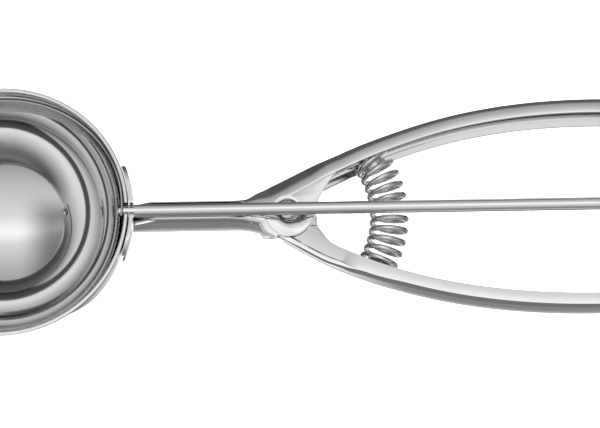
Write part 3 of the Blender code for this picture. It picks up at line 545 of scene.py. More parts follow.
    @staticmethod
    def drill(obj: bpy.types.Object, radius: float, places: list[Point2], low: float, high: float,
              sides: int = 32) -> None:
        """Cut upright round holes through a piece.

        Args:
            obj: The piece.
            radius: The holes' radius.
            places: Their middles in XY.
            low: Z where they start.
            high: Z where they end.
            sides: Segments round each.
        """
        for x, y in places:
            tool = Bench.bar("hole", radius, Vector((x, y, low)), Vector((x, y, high)), sides)
            Bench.combine(obj, tool)

    @staticmethod
    def join(obj: bpy.types.Object, others: list[bpy.types.Object]) -> None:
        """Join closed shells that overlap, as where sheet is welded to sheet.

        Args:
            obj: The piece that stays.
            others: The shells that go into it.
        """
        Bench.choose(obj)
        for other in others:
            other.select_set(True)
        bpy.ops.object.join()

    @staticmethod
    def soften(obj: bpy.types.Object, width: float, segments: int = 2, angle: float = 35.0) -> None:
        """Break the sharp edges of a piece.

        Args:
            obj: The piece.
            width: Width of the broken edge.
            segments: Faces across it.
            angle: Only edges sharper than this, in degrees.
        """
        Bench.apply(
            obj, "BEVEL", width=width, segments=segments, limit_method="ANGLE",
            angle_limit=math.radians(angle), harden_normals=False, use_clamp_overlap=True)

    @staticmethod
    def finish(
        obj: bpy.types.Object, name: str, finish: Finish, body: Body | None, *nodes: str,
        angle: float = 32.0
    ) -> bpy.types.Object:
        """Name, smooth, dress and mount a piece in place of its CAD nodes.

        Args:
            obj: The modelled piece.
            name: Its final name.
            finish: Its steel finish.
            body: The body that it rides on, or None for one that is attached to no body.
            nodes: The CAD nodes that it stands for.
            angle: Edges sharper than this stay sharp, in degrees.

        Returns:
            The finished piece.
        """
        obj.name = name
        obj.data.name = name
        obj.data.transform(Matrix.Translation(BOWL_CENTRE))
        Bench.choose(obj)
        bpy.ops.object.shade_smooth_by_angle(angle=math.radians(angle))
        obj.data.materials.clear()
        obj.data.materials.append(finish.material())
        if body is not None:
            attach(obj, body.value)
        if nodes:
            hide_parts(*nodes)
        carrier = body.value if body else "two bodies"
        LOG.info("%s: %d faces on %s", name, len(obj.data.polygons), carrier)
        return obj


def arc(centre: Point2, radius: float, start: float, end: float, steps: int) -> list[Point2]:
    """Points on an arc.

    Args:
        centre: The arc's centre.
        radius: Its radius.
        start: First angle in radians.
        end: Last angle in radians.
        steps: Number of spans.

    Returns:
        The points, both ends included.
    """
    turns = [start + (end - start) * i / steps for i in range(steps + 1)]
    return [(centre[0] + radius * math.cos(a), centre[1] + radius * math.sin(a)) for a in turns]


def smooth_run(
    start: Point2, start_slope: float, start_pull: float,
    end: Point2, end_slope: float, end_pull: float, steps: int
) -> list[Point2]:
    """Points of one cubic curve between two places with given directions.

    Args:
        start: First place.
        start_slope: Direction there in radians.
        start_pull: Handle length as a share of the distance.
        end: Last place.
        end_slope: Direction there in radians.
        end_pull: Handle length as a share of the distance.
        steps: Number of spans.

    Returns:
        The points, both ends included.
    """
    a, d = Vector((*start, 0)), Vector((*end, 0))
    reach = (d - a).length
    b = a + start_pull * reach * Vector((math.cos(start_slope), math.sin(start_slope), 0))
    c = d - end_pull * reach * Vector((math.cos(end_slope), math.sin(end_slope), 0))
    return [(p.x, p.y) for p in geometry.interpolate_bezier(a, b, c, d, steps + 1)]


def inward(points: list[Point2], side: int) -> list[Vector]:
    """Unit directions square to a run of points.

    Args:
        points: The run.
        side: 1 for its left, -1 for its right.

    Returns:
        One direction for each point.
    """
    out = []
    for i in range(len(points)):
        x0, y0 = points[max(i - 1, 0)]
        x1, y1 = points[min(i + 1, len(points) - 1)]
        length = math.hypot(x1 - x0, y1 - y0)
        out.append(Vector((-(y1 - y0) / length * side, (x1 - x0) / length * side, 0)))
    return out


# How a pressed flange leaves the web: (distance from the outer line, drop below the flat)
DOME: list[Point2] = [
    (0.0, 0.00125), (0.00002, 0.00108), (0.00009, 0.00088), (0.00021, 0.00070), (0.00038, 0.00054),
    (0.00060, 0.00041), (0.00088, 0.00030), (0.00122, 0.00020), (0.00165, 0.00011),
    (0.00215, 0.00005), (0.00270, 0.00001), (0.0031, 0.0)]


def ease(value: float, low: float, high: float) -> float:
    """A share that rises smoothly from 0 at low to 1 at high."""
    share = min(max((value - low) / (high - low), 0.0), 1.0)
    return share * share * (3 - 2 * share)


def crown(radius: float, height: float, spans: int) -> list[Point2]:
    """The profile of a domed head.

    Args:
        radius: The head's radius.
        height: Its height.
        spans: Number of spans from its top to its edge.

    Returns:
        (radius, height) points from the middle of its top to its edge.
    """
    turns = [math.radians(90 * i / spans) for i in range(1, spans + 1)]
    return [(0.0, height)] + [(radius * math.sin(a), height * math.cos(a)) for a in turns]


def mirror(points: list[Point2]) -> list[Point2]:
    """A run of points on the other side of the rod."""
    return [(x, -y) for x, y in points]


def beside(points: list[Point2], side: int, distance: float) -> list[Point2]:
    """A run of points moved inwards by a distance."""
    return [(x + n.x * distance, y + n.y * distance)
            for (x, y), n in zip(points, inward(points, side))]


def height_at(run: list[Point2], x: float) -> float:
    """The Y of a run of points, read at one X.

    Args:
        run: The points, with rising X.
        x: Where to read.

    Returns:
        The Y there.
    """
    for (x0, y0), (x1, y1) in zip(run, run[1:]):
        if x0 <= x <= x1 and x1 > x0:
            return y0 + (y1 - y0) * (x - x0) / (x1 - x0)
    raise ValueError("the run does not reach that X")


def between(table: Table, x: float) -> float:
    """A value read from a table, smooth between its rows and steady beyond them.

    Args:
        table: (place, value) pairs.
        x: The place.

    Returns:
        The value there.
    """
    if x <= table[0][0]:
        return table[0][1]
    for (x0, v0), (x1, v1) in zip(table, table[1:]):
        if x <= x1:
            return v0 + (v1 - v0) * ease(x, x0, x1)
    return table[-1][1]


@dataclass(frozen=True)
class Press:
    """How a channel's near edge is pressed at one place along it.

    From the web inwards come a round corner, a steep part, a soft part that eases from one slope
    to another, and a rib where there is one. Slopes are in degrees.
    """

    steep: float = 0.00105
    slope: float = 40.0
    soft: float = 0.0019
    lean: float = 26.0
    rest: float = 0.0
    flare: float = 0.0
    rib: float = 0.0
    rib_width: float = 0.00016
    rib_slope: float = 32.0
    curl: float = 0.0002
    cant: float = 0.0
    corner: float = 0.00025
    corner_slope: float = 75.0
    least: float = 0.00002

    def profile(self) -> list[Point2]:
        """The near flange's pressed edge.

        Returns:
            (distance from the outer line, height) points from the web's top to the flat, at 0.
        """
        points = [(0.0, 0.0)]
        for turn in (self.corner_slope, (self.corner_slope + self.slope) / 2, self.slope):
            a = math.radians(turn)
            points.append((self.corner * (1 - math.sin(a)), self.corner * math.cos(a)))
        spans = [(self.steep / 3, self.slope)] * 3
        spans += [(self.soft / 8, self.rest + (self.lean - self.rest) * (1 - (i + 0.5) / 8))
                  for i in range(8)]
        spans += [(self.rib * self.rib_width + self.least, -self.rib_slope * self.rib)] * 2
        for width, turn in spans:
            d, h = points[-1]
            points.append((d + width, h + width * math.tan(math.radians(turn))))
        flat = points[-1][1]
        return [(d - self.flare, h - flat) for d, h in points]


@dataclass
class Channel:
    """What both pressed handles share: a sheet section drawn along an outer line.

    The web bulges outwards near the far flange, and further up it follows the near flange's flare.
    """

    sheet: float = 0.0006
    edge: float = 0.00014
    least: float = 0.0001
    web_bulge: float = 0.00050
    web_out: float = 0.0
    web_spans: int = 16
    bulge_share: float = 0.55
    flare_share: float = 0.25
    clear_share: float = 0.985
    step: float = 0.000001
    pivot: float = PIVOT_X
    widest: float = 0.1400
    end: float = 0.1970
    slope: float = math.radians(26)
    end_slope: float = math.radians(-23)

    def section(self, top: float, far: float, near_width: float, far_width: float,
                press: Press, fold: float = 1.0) -> list[Point2]:
        """The section's outer side, from the far flange round the web to the near flange.

        Args:
            top: Z of the near flange's flat, or of the wall's upper edge where it isn't folded.
            far: Z of the far face.
            near_width: Width of the near flange.
            far_width: Width of the far flange.
            press: How the near edge is formed.
            fold: 0 for an upright wall, 1 for a folded flange.

        Returns:
            (distance from the outer line, Z) points.
        """
        near = [(d, top + h) for d, h in press.profile()]
        near.append((max(near_width - self.edge, near[-1][0] + self.least), top))
        fall = math.tan(math.radians(press.cant))
        near = [(d, z - (near_width - d) * fall) for d, z in near]
        count = len(near)
        turns = [math.pi / 2 * k / (count - 1) for k in range(count)]
        wall = [(press.curl * (1 - math.cos(a)), top - 1.5 * press.curl * (1 - math.sin(a)))
                for a in turns]
        near = [(a[0] * fold + b[0] * (1 - fold), a[1] * fold + b[1] * (1 - fold))
                for a, b in zip(near, wall)]
        reach = min(1.0, (far_width - self.edge - self.least) / DOME[-1][0])
        bottom = [(far_width - self.edge, far)] + [
            (d * reach + (self.web_bulge + near[0][0] * self.web_out) * (1 - d / DOME[-1][0]) ** 2,
             far + drop)
            for d, drop in DOME[::-1]]
        web = []
        for i in range(1, self.web_spans):
            share = i / self.web_spans
            low = max(0.0, 1 - share / self.bulge_share)
            out = self.web_out + (1 - self.web_out) * ease(share, self.flare_share, 1.0)
            web.append((self.web_bulge * low * low + near[0][0] * out,
                        bottom[-1][1] + (near[0][1] - bottom[-1][1]) * share))
        return bottom + web + near

    def inner(self, run: list[Point2]) -> list[tuple[Vector, Vector, bool]]:
        """Offset a run of outer points by the sheet's thickness.

        Args:
            run: The outer side, (distance, Z) points.

        Returns:
            For each point its direction along the run, the inner point, and whether that point
            keeps clear of the outer side.
        """
        outer, found = [Vector(point) for point in run], []
        for i, point in enumerate(outer):
            along = (outer[min(i + 1, len(outer) - 1)] - outer[max(i - 1, 0)]).normalized()
            spot = point + Vector((along.y, -along.x)) * self.sheet
            found.append((along, spot, all(
                (spot - p).length > self.sheet * self.clear_share for p in outer)))
        return found

    def closed(self, run: list[Point2], clear: list[bool]) -> list[Point2]:
        """Give a run of outer points its inner side and its two sheared edges.

        Args:
            run: The outer side, (distance, Z) points.
            clear: Which inner points stand; the others are spaced evenly between those.

        Returns:
            The closed section.
        """
        outer = [Vector(point) for point in run]
        found = self.inner(run)
        spots = [spot for _, spot, _ in found]
        for i, stands in enumerate(clear):
            if not stands:
                before = max(k for k in range(i) if clear[k])
                after = min(k for k in range(i, len(clear)) if clear[k])
                spots[i] = spots[before].lerp(spots[after], (i - before) / (after - before))
        first, last = found[0][0], found[-1][0]
        loop = list(outer)
        loop += self._edge_points(outer[-1], last, Vector((last.y, -last.x)))
        loop += spots[::-1]
        loop += self._edge_points(outer[0], -first, Vector((first.y, -first.x)))[::-1]
        return [(v.x, v.y) for v in loop]

    def _edge_points(self, corner: Vector, along: Vector, across: Vector) -> list[Vector]:
        """Points round a sheared edge with both its corners broken.

        Args:
            corner: Where the outer side ends.
            along: Direction in which it ends.
            across: Direction through the sheet.

        Returns:
            The points, from the outer side to the inner one.
        """
        turns = [math.radians(a) for a in (25, 50, 90)]
        first = [corner + along * self.edge * math.sin(a) + across * self.edge * (1 - math.cos(a))
                 for a in turns]
        last = [corner + along * self.edge * math.sin(a)
                + across * (self.sheet - self.edge * (1 - math.cos(a))) for a in turns[::-1]]
        return first + last

    def draw(self, name: str, line: list[Point2], side: int,
             runs: list[list[Point2]]) -> bpy.types.Object:
        """A closed sheet drawn along a line.

        Args:
            name: The object's name.
            line: The outer line.
            side: 1 when the sheet lies left of the line, -1 when right of it.
            runs: The section's outer side for each point of the line.

        Returns:
            The drawn sheet, closed at both ends.
        """
        flags = [[good for _, _, good in self.inner(run)] for run in runs]
        count = len(runs[0])
        clear = [all(row[k] for row in flags for k in range(max(i - 1, 0), min(i + 2, count)))
                 for i in range(count)]
        clear[0] = clear[-1] = True
        rows = []
        for (x, y), across, run in zip(line, inward(line, side), runs):
            section = self.closed(run, clear)
            row = [Vector((x + across.x * d, y + across.y * d, z)) for d, z in section]
            rows.append(row + [row[0]])
        obj = Bench.sheet(name, rows)
        Bench.close(obj)
        return obj

    def slab(self, name: str, outline: list[Point2], low: float) -> bpy.types.Object:
        """A flat piece of the sheet with broken edges.

        Args:
            name: The object's name.
            outline: Its corners in XY, in order.
            low: Z of its lower face.

        Returns:
            The flat piece.
        """
        plate = Bench.plate(name, outline, low, low + self.sheet)
        Bench.soften(plate, self.edge * 0.8, 2, 60)
        return plate


@dataclass
class FixedHandle(Channel):
    """Neck, ears and fixed arm of the scoop.

    Shoulder is the XY line on which the near ear turns down to the neck. Pocket says how far the
    near dimple is drawn out at each angle in degrees. Steep, soft, rests and flares say how the
    arm's near edge is pressed at places along the rod.
    """

    near: float = -0.0018
    far: float = -0.0140
    neck_start: float = 0.0270
    neck_step: float = 0.0005
    neck_half: float = 0.00235
    neck_width: float = 0.0013
    neck_far_width: float = 0.0029
    neck_top: float = -0.0004
    neck_end: float = 0.0560
    bend_x: float = 0.0640
    bend_y: float = 0.0059
    wide_y: float = 0.0265
    end_y: float = 0.0150
    leave_pulls: Point2 = (0.457, 0.332)
    front_pulls: Point2 = (0.2654, 0.4763)
    rear_pulls: Point2 = (0.4127, 0.3096)
    flange: float = 0.0035
    folding: Point2 = (0.0555, 0.0600)
    widening: Point2 = (0.0570, 0.0605)
    low_folding: Point2 = (0.0560, 0.0600)
    low_widening: float = 0.0012
    low_drop: float = 0.0004
    low_press: Press = Press(steep=0.0005, slope=50.0, soft=0.0013, lean=30.0, curl=0.00085)
    ear_radius: float = 0.0063
    far_ear_radius: float = 0.0052
    ear_room: float = 0.0055
    flare_end: float = 0.0648
    flare_drop: float = 0.0045
    flare_slope: float = math.radians(9)
    flare_pulls: Point2 = (0.399, 0.299)
    dish_radius: float = 0.0030
    dish_room: float = 0.00075
    dish_depth: float = 0.0009
    dish_wave: float = 0.00003
    rivet_hole: float = 0.00155
    front: float = 0.0315
    shoulder: Table = (
        (0.0614, 0.0012), (0.0616, -0.0012), (0.0620, -0.0026), (0.0627, -0.0040),
        (0.0638, -0.0051), (0.06484, -0.00584))
    shoulder_spans: int = 32
    shoulder_width: float = 0.0015
    shoulder_narrowing: float = 0.0008
    shoulder_tight: float = 0.30
    shoulder_fall: float = math.radians(11)
    pocket: Table = (
        (-180.0, 0.95), (-150.0, 0.82), (-120.0, 0.95), (-90.0, 1.06), (-62.0, 1.14), (-40.0, 1.36),
        (-25.0, 1.52), (-10.0, 1.46), (6.0, 1.20), (25.0, 0.97), (180.0, 0.95))
    steep: Table = (
        (0.0580, 0.0012), (0.0630, 0.0026), (0.0710, 0.0024), (0.0775, 0.0015), (0.0940, 0.0012),
        (0.1100, 0.0010))
    soft: Table = ((0.0720, 0.0017), (0.0800, 0.0020))
    rests: Table = ((0.0600, 9.0), (0.0750, 9.0), (0.0850, 0.0))
    flares: Table = (
        (0.0560, 0.0), (0.0610, 0.0009), (0.0720, 0.0009), (0.0800, 0.0005), (0.0950, 0.0002),
        (0.1700, 0.0002), (0.1900, 0.0))

    def outer(self) -> list[Point2]:
        """The arm's outer line.

        Returns:
            Its points, from the saddle to its rear end.
        """
        bend, wide = (self.bend_x, self.bend_y), (self.widest, self.wide_y)
        neck = [(self.neck_start + self.neck_step * i, self.neck_half) for i in range(51)]
        leave = smooth_run((self.neck_end - 0.0035, self.neck_half), 0, self.leave_pulls[0],
                           bend, self.slope, self.leave_pulls[1], 24)
        front = smooth_run(bend, self.slope, self.front_pulls[0], wide, 0, self.front_pulls[1], 72)
        rear = smooth_run(wide, 0, self.rear_pulls[0], (self.end, self.end_y), self.end_slope,
                          self.rear_pulls[1], 36)
        return neck + leave + front[1:] + rear[1:]

    def flare(self) -> list[Point2]:
        """The line of the neck's lower wall.

        Returns:
            Its points, from the saddle to the flare's end.
        """
        neck = [(self.neck_start + self.neck_step * i, -self.neck_half) for i in range(56)]
        rise = smooth_run(
            (self.neck_end - 0.001, self.neck_half), 0, self.flare_pulls[0],
            (self.flare_end, self.flare_drop), self.flare_slope, self.flare_pulls[1], 20)
        return neck + mirror(rise)

    def _top(self, x: float) -> float:
        """Height of the sheet's upper edge along the neck, down to the ear's face.

        Args:
            x: Place along the rod.

        Returns:
            Z of the edge there.
        """
        if x < 0.0400:
            return self.neck_top - 0.0030 * (1 - ease(x, 0.0300, 0.0362))
        return self.neck_top + (self.near - self.neck_top) * ease(x, 0.0525, 0.0585)

    def build(self) -> None:
        """Make the handle from its drawn walls and flat ears."""
        line, low_line = self.outer(), self.flare()
        upper = self.draw("fixed", line, -1, [self._upper_section(x) for x, _ in line])
        lower = self.draw("low_wall", low_line, 1, [self._lower_section(x) for x, _ in low_line])
        plates = [self._near_plate(line), self._shoulder(), self._far_plate(line, low_line)]
        for shell in (upper, lower):
            self._trim(shell)
        dishes = []
        for face, direction in ((self.near, 1), (self.far, -1)):
            for shell in plates:
                tool = Bench.bar("dish_hole", self.dish_radius + self.dish_room,
                                 Vector((self.pivot, 0, face - direction * 0.0010)),
                                 Vector((self.pivot, 0, face + direction * 0.0010)), 96)
                Bench.combine(shell, self._draw_out(tool, direction))
            dishes.append(self._dish(face, direction))
        drive = Drive()
        Bench.drill(upper, drive.hole, drive.bracket_rivets(), -0.0033, 0.0010)
        Bench.join(upper, [lower] + plates + dishes)
        Bench.finish(upper, "fixed_handle_steel", POLISHED, Body.FRAME, "fixed_handle", angle=28)

    def _upper_section(self, x: float) -> list[Point2]:
        """The section of the neck's upper wall and of the arm behind it.

        Args:
            x: Place along the rod.

        Returns:
            The section's outer side.
        """
        wider = ease(x, *self.widening)
        return self.section(self._top(x), self.far,
                            self.neck_width + (self._near_width(x) - self.neck_width) * wider,
                            self.neck_far_width + (self.flange - self.neck_far_width) * wider,
                            self._press(x), ease(x, *self.folding))

    def _lower_section(self, x: float) -> list[Point2]:
        """The section of the neck's lower wall, a hair inside the upper one's heights.

        Args:
            x: Place along the rod.

        Returns:
            The section's outer side.
        """
        fold = ease(x, *self.folding)
        width = self.neck_width + self.low_widening * ease(x, *self.low_folding)
        top = self._top(x) - self.low_drop * (1 - fold) - self.step
        return self.section(top, self.far + self.step, width, self.neck_far_width, self.low_press, fold)

    def _press(self, x: float) -> Press:
        """How the arm's near edge is formed at a place along it."""
        return Press(steep=between(self.steep, x), soft=between(self.soft, x),
                     rest=between(self.rests, x), flare=between(self.flares, x))

    def _near_width(self, x: float) -> float:
        """Width of the arm's near flange at a place along it."""
        press = self._press(x)
        return max(self.flange, press.profile()[-1][0] + 0.0004)

    def _ear(self, radius: float, start: float, stop: float) -> list[Point2]:
        """Part of an ear's round edge, angles in degrees."""
        return arc((self.pivot, 0), radius, math.radians(start), math.radians(stop), 48)

    def _plate_border(self, line: list[Point2], first: float) -> list[Point2]:
        """The border of an ear's flat part along the arm, inside the fold.

        Args:
            line: The arm's outer line.
            first: X where the border starts.

        Returns:
            The border's points.
        """
        border = [(x + n.x * inset, y + n.y * inset)
                  for (x, y), n in zip(line, inward(line, -1))
                  for inset in [self._near_width(x) - 0.00032]]
        return [p for p in border if first < p[0] < self.pivot + 0.0125]

    def _crotch(self, line: list[Point2]) -> Point2:
        """Where the fillet between an ear and the arm's inner edge ends."""
        return next(p for p in beside(line, -1, self.flange)
                    if p[0] > self.pivot + self.ear_radius + self.ear_room)

    def _near_plate(self, line: list[Point2]) -> bpy.types.Object:
        """The near ear, from the shoulder to the arm's inner edge.

        Args:
            line: The arm's outer line.

        Returns:
            The ear.
        """
        ear = self._ear(self.ear_radius, -112, -5)
        fillet = smooth_run(ear[-1], math.radians(78), 0.30,
                            self._crotch(line), self.slope + 0.14, 0.12, 24)
        outline = (self._plate_border(line, 0.0598) + fillet[::-1] + ear[::-1]
                   + list(self.shoulder[1:-1])[::-1])
        return self.slab("near_plate", outline, self.near - self.sheet - 2 * self.step)

    def _shoulder(self) -> bpy.types.Object:
        """The soft bend where the near ear turns down to the neck's lower wall.

        Returns:
            The drawn bend.
        """
        line, runs, spans = [], [], self.shoulder_spans
        run = [Vector((*p, 0)) for p in self.shoulder]
        for i in range(spans + 1):
            share = i / spans * (len(run) - 1)
            k = min(int(share), len(run) - 2)
            line.append(tuple((run[k].lerp(run[k + 1], share - k)).to_2d()))
        line = [(a[0] / 4 + p[0] / 2 + b[0] / 4, a[1] / 4 + p[1] / 2 + b[1] / 4)
                for i, p in enumerate(line)
                for a, b in [(line[max(i - 2, 0)], line[min(i + 2, spans)])]]
        outer = []
        for i, ((x, y), n) in enumerate(zip(line, inward(line, 1))):
            width = self.shoulder_width - self.shoulder_narrowing * ease(i / spans, 0.60, 1.0)
            outer.append((x - n.x * width, y - n.y * width))
            tight = width * self.shoulder_tight
            drop = (width - tight) * math.tan(self.shoulder_fall)
            bend = [(tight * (1 - math.sin(a)), self.near - drop - tight * (1 - math.cos(a)) * 1.1)
                    for a in (math.radians(t) for t in range(80, 11, -10))]
            bend += [(tight + (width - tight) * f, self.near - drop * (1 - f))
                     for f in (0.25, 0.5, 0.8)]
            under = [(width * f, self.near - width * g)
                     for f, g in ((1.55, 3.3), (0.70, 2.2), (0.14, 1.35))]
            runs.append(under + bend + [(width + 0.0001, self.near), (width + 0.0005, self.near)])
        return self.draw("shoulder", outer, 1, runs)

    def _far_plate(self, line: list[Point2], low_line: list[Point2]) -> bpy.types.Object:
        """The far ear, trimmed closer to the pivot.

        Args:
            line: The arm's outer line.
            low_line: The line of the neck's lower wall.

        Returns:
            The ear.
        """
        first = 0.0560
        upper = self._plate_border(line, first)
        lower = [p for p in beside(low_line, 1, self.neck_far_width)
                 if first + 0.0010 < p[0] < 0.0616]
        ear = [(self.pivot + (x - self.pivot) * grow, y * grow)
               for x, y in self._ear(self.far_ear_radius, -100, 5)
               for grow in [1 + 0.24 * ease(math.degrees(math.atan2(y, x - self.pivot)), -60, -5)]]
        fillet = smooth_run(ear[-1], math.radians(92), 0.42,
                            self._crotch(line), self.slope, 0.37, 24)
        return self.slab("far_plate", upper + fillet[::-1] + ear[::-1] + lower[::-1],
                         self.far + 2 * self.step)

    def _trim(self, shell: bpy.types.Object) -> None:
        """Shape the neck's front end to the saddle's ball.

        Args:
            shell: The drawn wall.
        """
        for corner in shell.data.vertices:
            across = self.front ** 2 - corner.co.y ** 2 - corner.co.z ** 2
            if across > 0 and 0 < corner.co.x < math.sqrt(across):
                corner.co.x = math.sqrt(across)

    def _dish(self, face: float, direction: int) -> bpy.types.Object:
        """The pressed dimple round the pivot, as a turned ring of the sheet.

        Args:
            face: Z of the ear's outer face.
            direction: 1 for the near ear, -1 for the far one.

        Returns:
            The ring.
        """
        skin = [(self.dish_radius + 0.00090, 0.0), (self.dish_radius + 0.00045, -0.00001),
                (self.dish_radius + 0.00015, -0.00005), (self.dish_radius - 0.00010, -0.00015),
                (self.dish_radius - 0.00030, -0.00034), (self.dish_radius - 0.00046, -0.00056),
                (self.dish_radius - 0.00064, -0.00074), (self.dish_radius - 0.00086, -0.00085),
                (self.dish_radius - 0.00110, -self.dish_depth),
                (self.rivet_hole + 0.00006, -self.dish_depth),
                (self.rivet_hole, -self.dish_depth - 0.00006)]
        back = [(r + 0.00020 * (0.0002 < -z < 0.0008), z - self.sheet) for r, z in skin[:-1]]
        ring = skin + [(self.rivet_hole, -self.dish_depth - self.sheet + 0.00006)] + back[::-1]
        place = Matrix.Translation((self.pivot, 0, face)) @ Matrix.Diagonal((1, 1, direction, 1))
        dish = Bench.lathe("dish", ring, 96, place)
        Bench.edit_all(dish)
        Bench.outwards()
        return self._draw_out(dish, direction)

    def _draw_out(self, obj: bpy.types.Object, direction: int) -> bpy.types.Object:
        """Draw the near pocket out towards the lever; the far one stays round.

        Args:
            obj: The turned ring or the tool that makes room for it.
            direction: 1 for the near face, -1 for the far one.

        Returns:
            The same object.
        """
        if direction < 0:
            return obj
        for corner in obj.data.vertices:
            x, y = corner.co.x - self.pivot, corner.co.y
            radius, turn = math.hypot(x, y), math.degrees(math.atan2(y, x))
            share = ease(radius, self.rivet_hole, self.dish_radius - 0.0004)
            grow = 1 + (between(self.pocket, turn) - 1) * share
            corner.co.x, corner.co.y = self.pivot + x * grow, y * grow
            if self.rivet_hole + 0.0003 < radius < self.dish_radius - 0.0002:
                wave = math.sin(turn * 0.41) * math.cos(turn * 0.19 + radius * 9000)
                corner.co.z += self.dish_wave * wave
        return obj


@dataclass
class Lever(Channel):
    """The squeezed arm with its two ears inside the fixed handle's."""

    near: float = -0.0026
    far: float = -0.0132
    start_x: float = 0.0660
    start_y: float = 0.0050
    start_slope: float = math.radians(28)
    wide_y: float = 0.0241
    end_y: float = 0.0130
    front_pulls: Point2 = (0.1087, 0.6171)
    rear_pulls: Point2 = (0.4138, 0.3103)
    flange: float = 0.0033
    border: float = 0.0026
    ear_radius: float = 0.0047
    ear_hole: float = 0.0033
    rib_height: float = 0.0002
    web_bulge: float = 0.00025
    web_out: float = 0.30
    flares: Table = (
        (0.0660, 0.0013), (0.0760, 0.0014), (0.0810, 0.0010), (0.0860, 0.0005), (0.0960, 0.0))

    def _rib(self, x: float) -> float:
        """How far the rib beside the ear is formed at a place along the arm."""
        return 1 - ease(x, 0.0795, 0.0835)

    def _press(self, x: float) -> Press:
        """How the arm's near edge is formed at a place along it."""
        rib = self._rib(x)
        return Press(steep=0.00055 - 0.0003 * rib, slope=62.0, soft=0.0002 + 0.0006 * rib, lean=9.0,
                     flare=between(self.flares, x), rib=rib, cant=3.2 * (1 - rib))

    def outer(self) -> list[Point2]:
        """The lever's outer line.

        Returns:
            Its points, from its heel to its rear end.
        """
        wide = (self.widest, self.wide_y)
        front = smooth_run((self.start_x, self.start_y), self.start_slope, self.front_pulls[0],
                           wide, 0, self.front_pulls[1], 80)
        rear = smooth_run(wide, 0, self.rear_pulls[0], (self.end, self.end_y), self.end_slope,
                          self.rear_pulls[1], 36)
        return mirror(front + rear[1:])

    def build(self) -> None:
        """Make the lever from its drawn channel and flat ears."""
        line = self.outer()
        arm = self.draw("lever", line, 1, [
            self.section(self.near - self.rib_height * self._rib(x), self.far, self.flange,
                         self.flange, self._press(x)) for x, _ in line])
        near_low = self.near - self.rib_height - self.sheet - self.step
        for ear in (self._near_ear(line, near_low), self._far_ear(line, self.far + self.step)):
            Bench.combine(arm, ear, "UNION")
        Bench.drill(arm, self.ear_hole, [(self.pivot, 0)], self.far - 0.001, self.near + 0.001, 64)
        drive = Drive()
        Bench.drill(arm, drive.hole, drive.rack_rivets(), -0.0041, 0.0010)
        Bench.finish(arm, "lever_steel", POLISHED, Body.LEVER, "lever_arm", angle=28)

    def _ear_sides(self, line: list[Point2]) -> tuple[list[Point2], Point2]:
        """What both ears share.

        Args:
            line: The lever's outer line.

        Returns:
            The border along the arm, its heel first, and the place where the fillet starts.
        """
        border = [p for p in beside(line, 1, self.border) if p[0] < self.pivot + 0.0120]
        inner = next(p for p in beside(line, 1, self.flange) if p[0] > self.pivot + 0.0063 + 0.0045)
        return [(self.start_x + 0.0006, -self.start_y + 0.0012)] + border, inner

    def _near_ear(self, line: list[Point2], low: float) -> bpy.types.Object:
        """The near ear, cut back under the fixed one.

        Args:
            line: The lever's outer line.
            low: Z of its lower face.

        Returns:
            The ear.
        """
        border, inner = self._ear_sides(line)
        ear = arc((self.pivot, 0), self.ear_radius, math.radians(-38), math.radians(215), 64)
        knee = (0.0743, -0.0037)
        fillet = smooth_run(inner, math.pi - self.slope, 0.40, knee, math.radians(135), 0.30, 12)
        fillet += smooth_run(knee, math.radians(140), 0.40,
                             (0.0722, -0.0034), math.radians(186), 0.45, 8)[1:]
        return self.slab("ear", border + fillet + ear, low)

    def _far_ear(self, line: list[Point2], low: float) -> bpy.types.Object:
        """The far ear, drawn out towards the spring.

        Args:
            line: The lever's outer line.
            low: Z of its lower face.

        Returns:
            The ear.
        """
        border, inner = self._ear_sides(line)
        edge = arc((self.pivot, 0), self.ear_radius, math.radians(-4), math.radians(215), 64)
        ear = [(self.pivot + (x - self.pivot) * grow, y * grow)
               for x, y in edge
               for grow in [1.52 - 0.52 * ease(math.degrees(math.atan2(y, x - self.pivot)), 5, 70)]]
        fillet = smooth_run(inner, math.pi - self.slope, 0.29, ear[0], math.radians(100), 0.29, 20)
        return self.slab("ear", border + fillet + ear[1:], low)


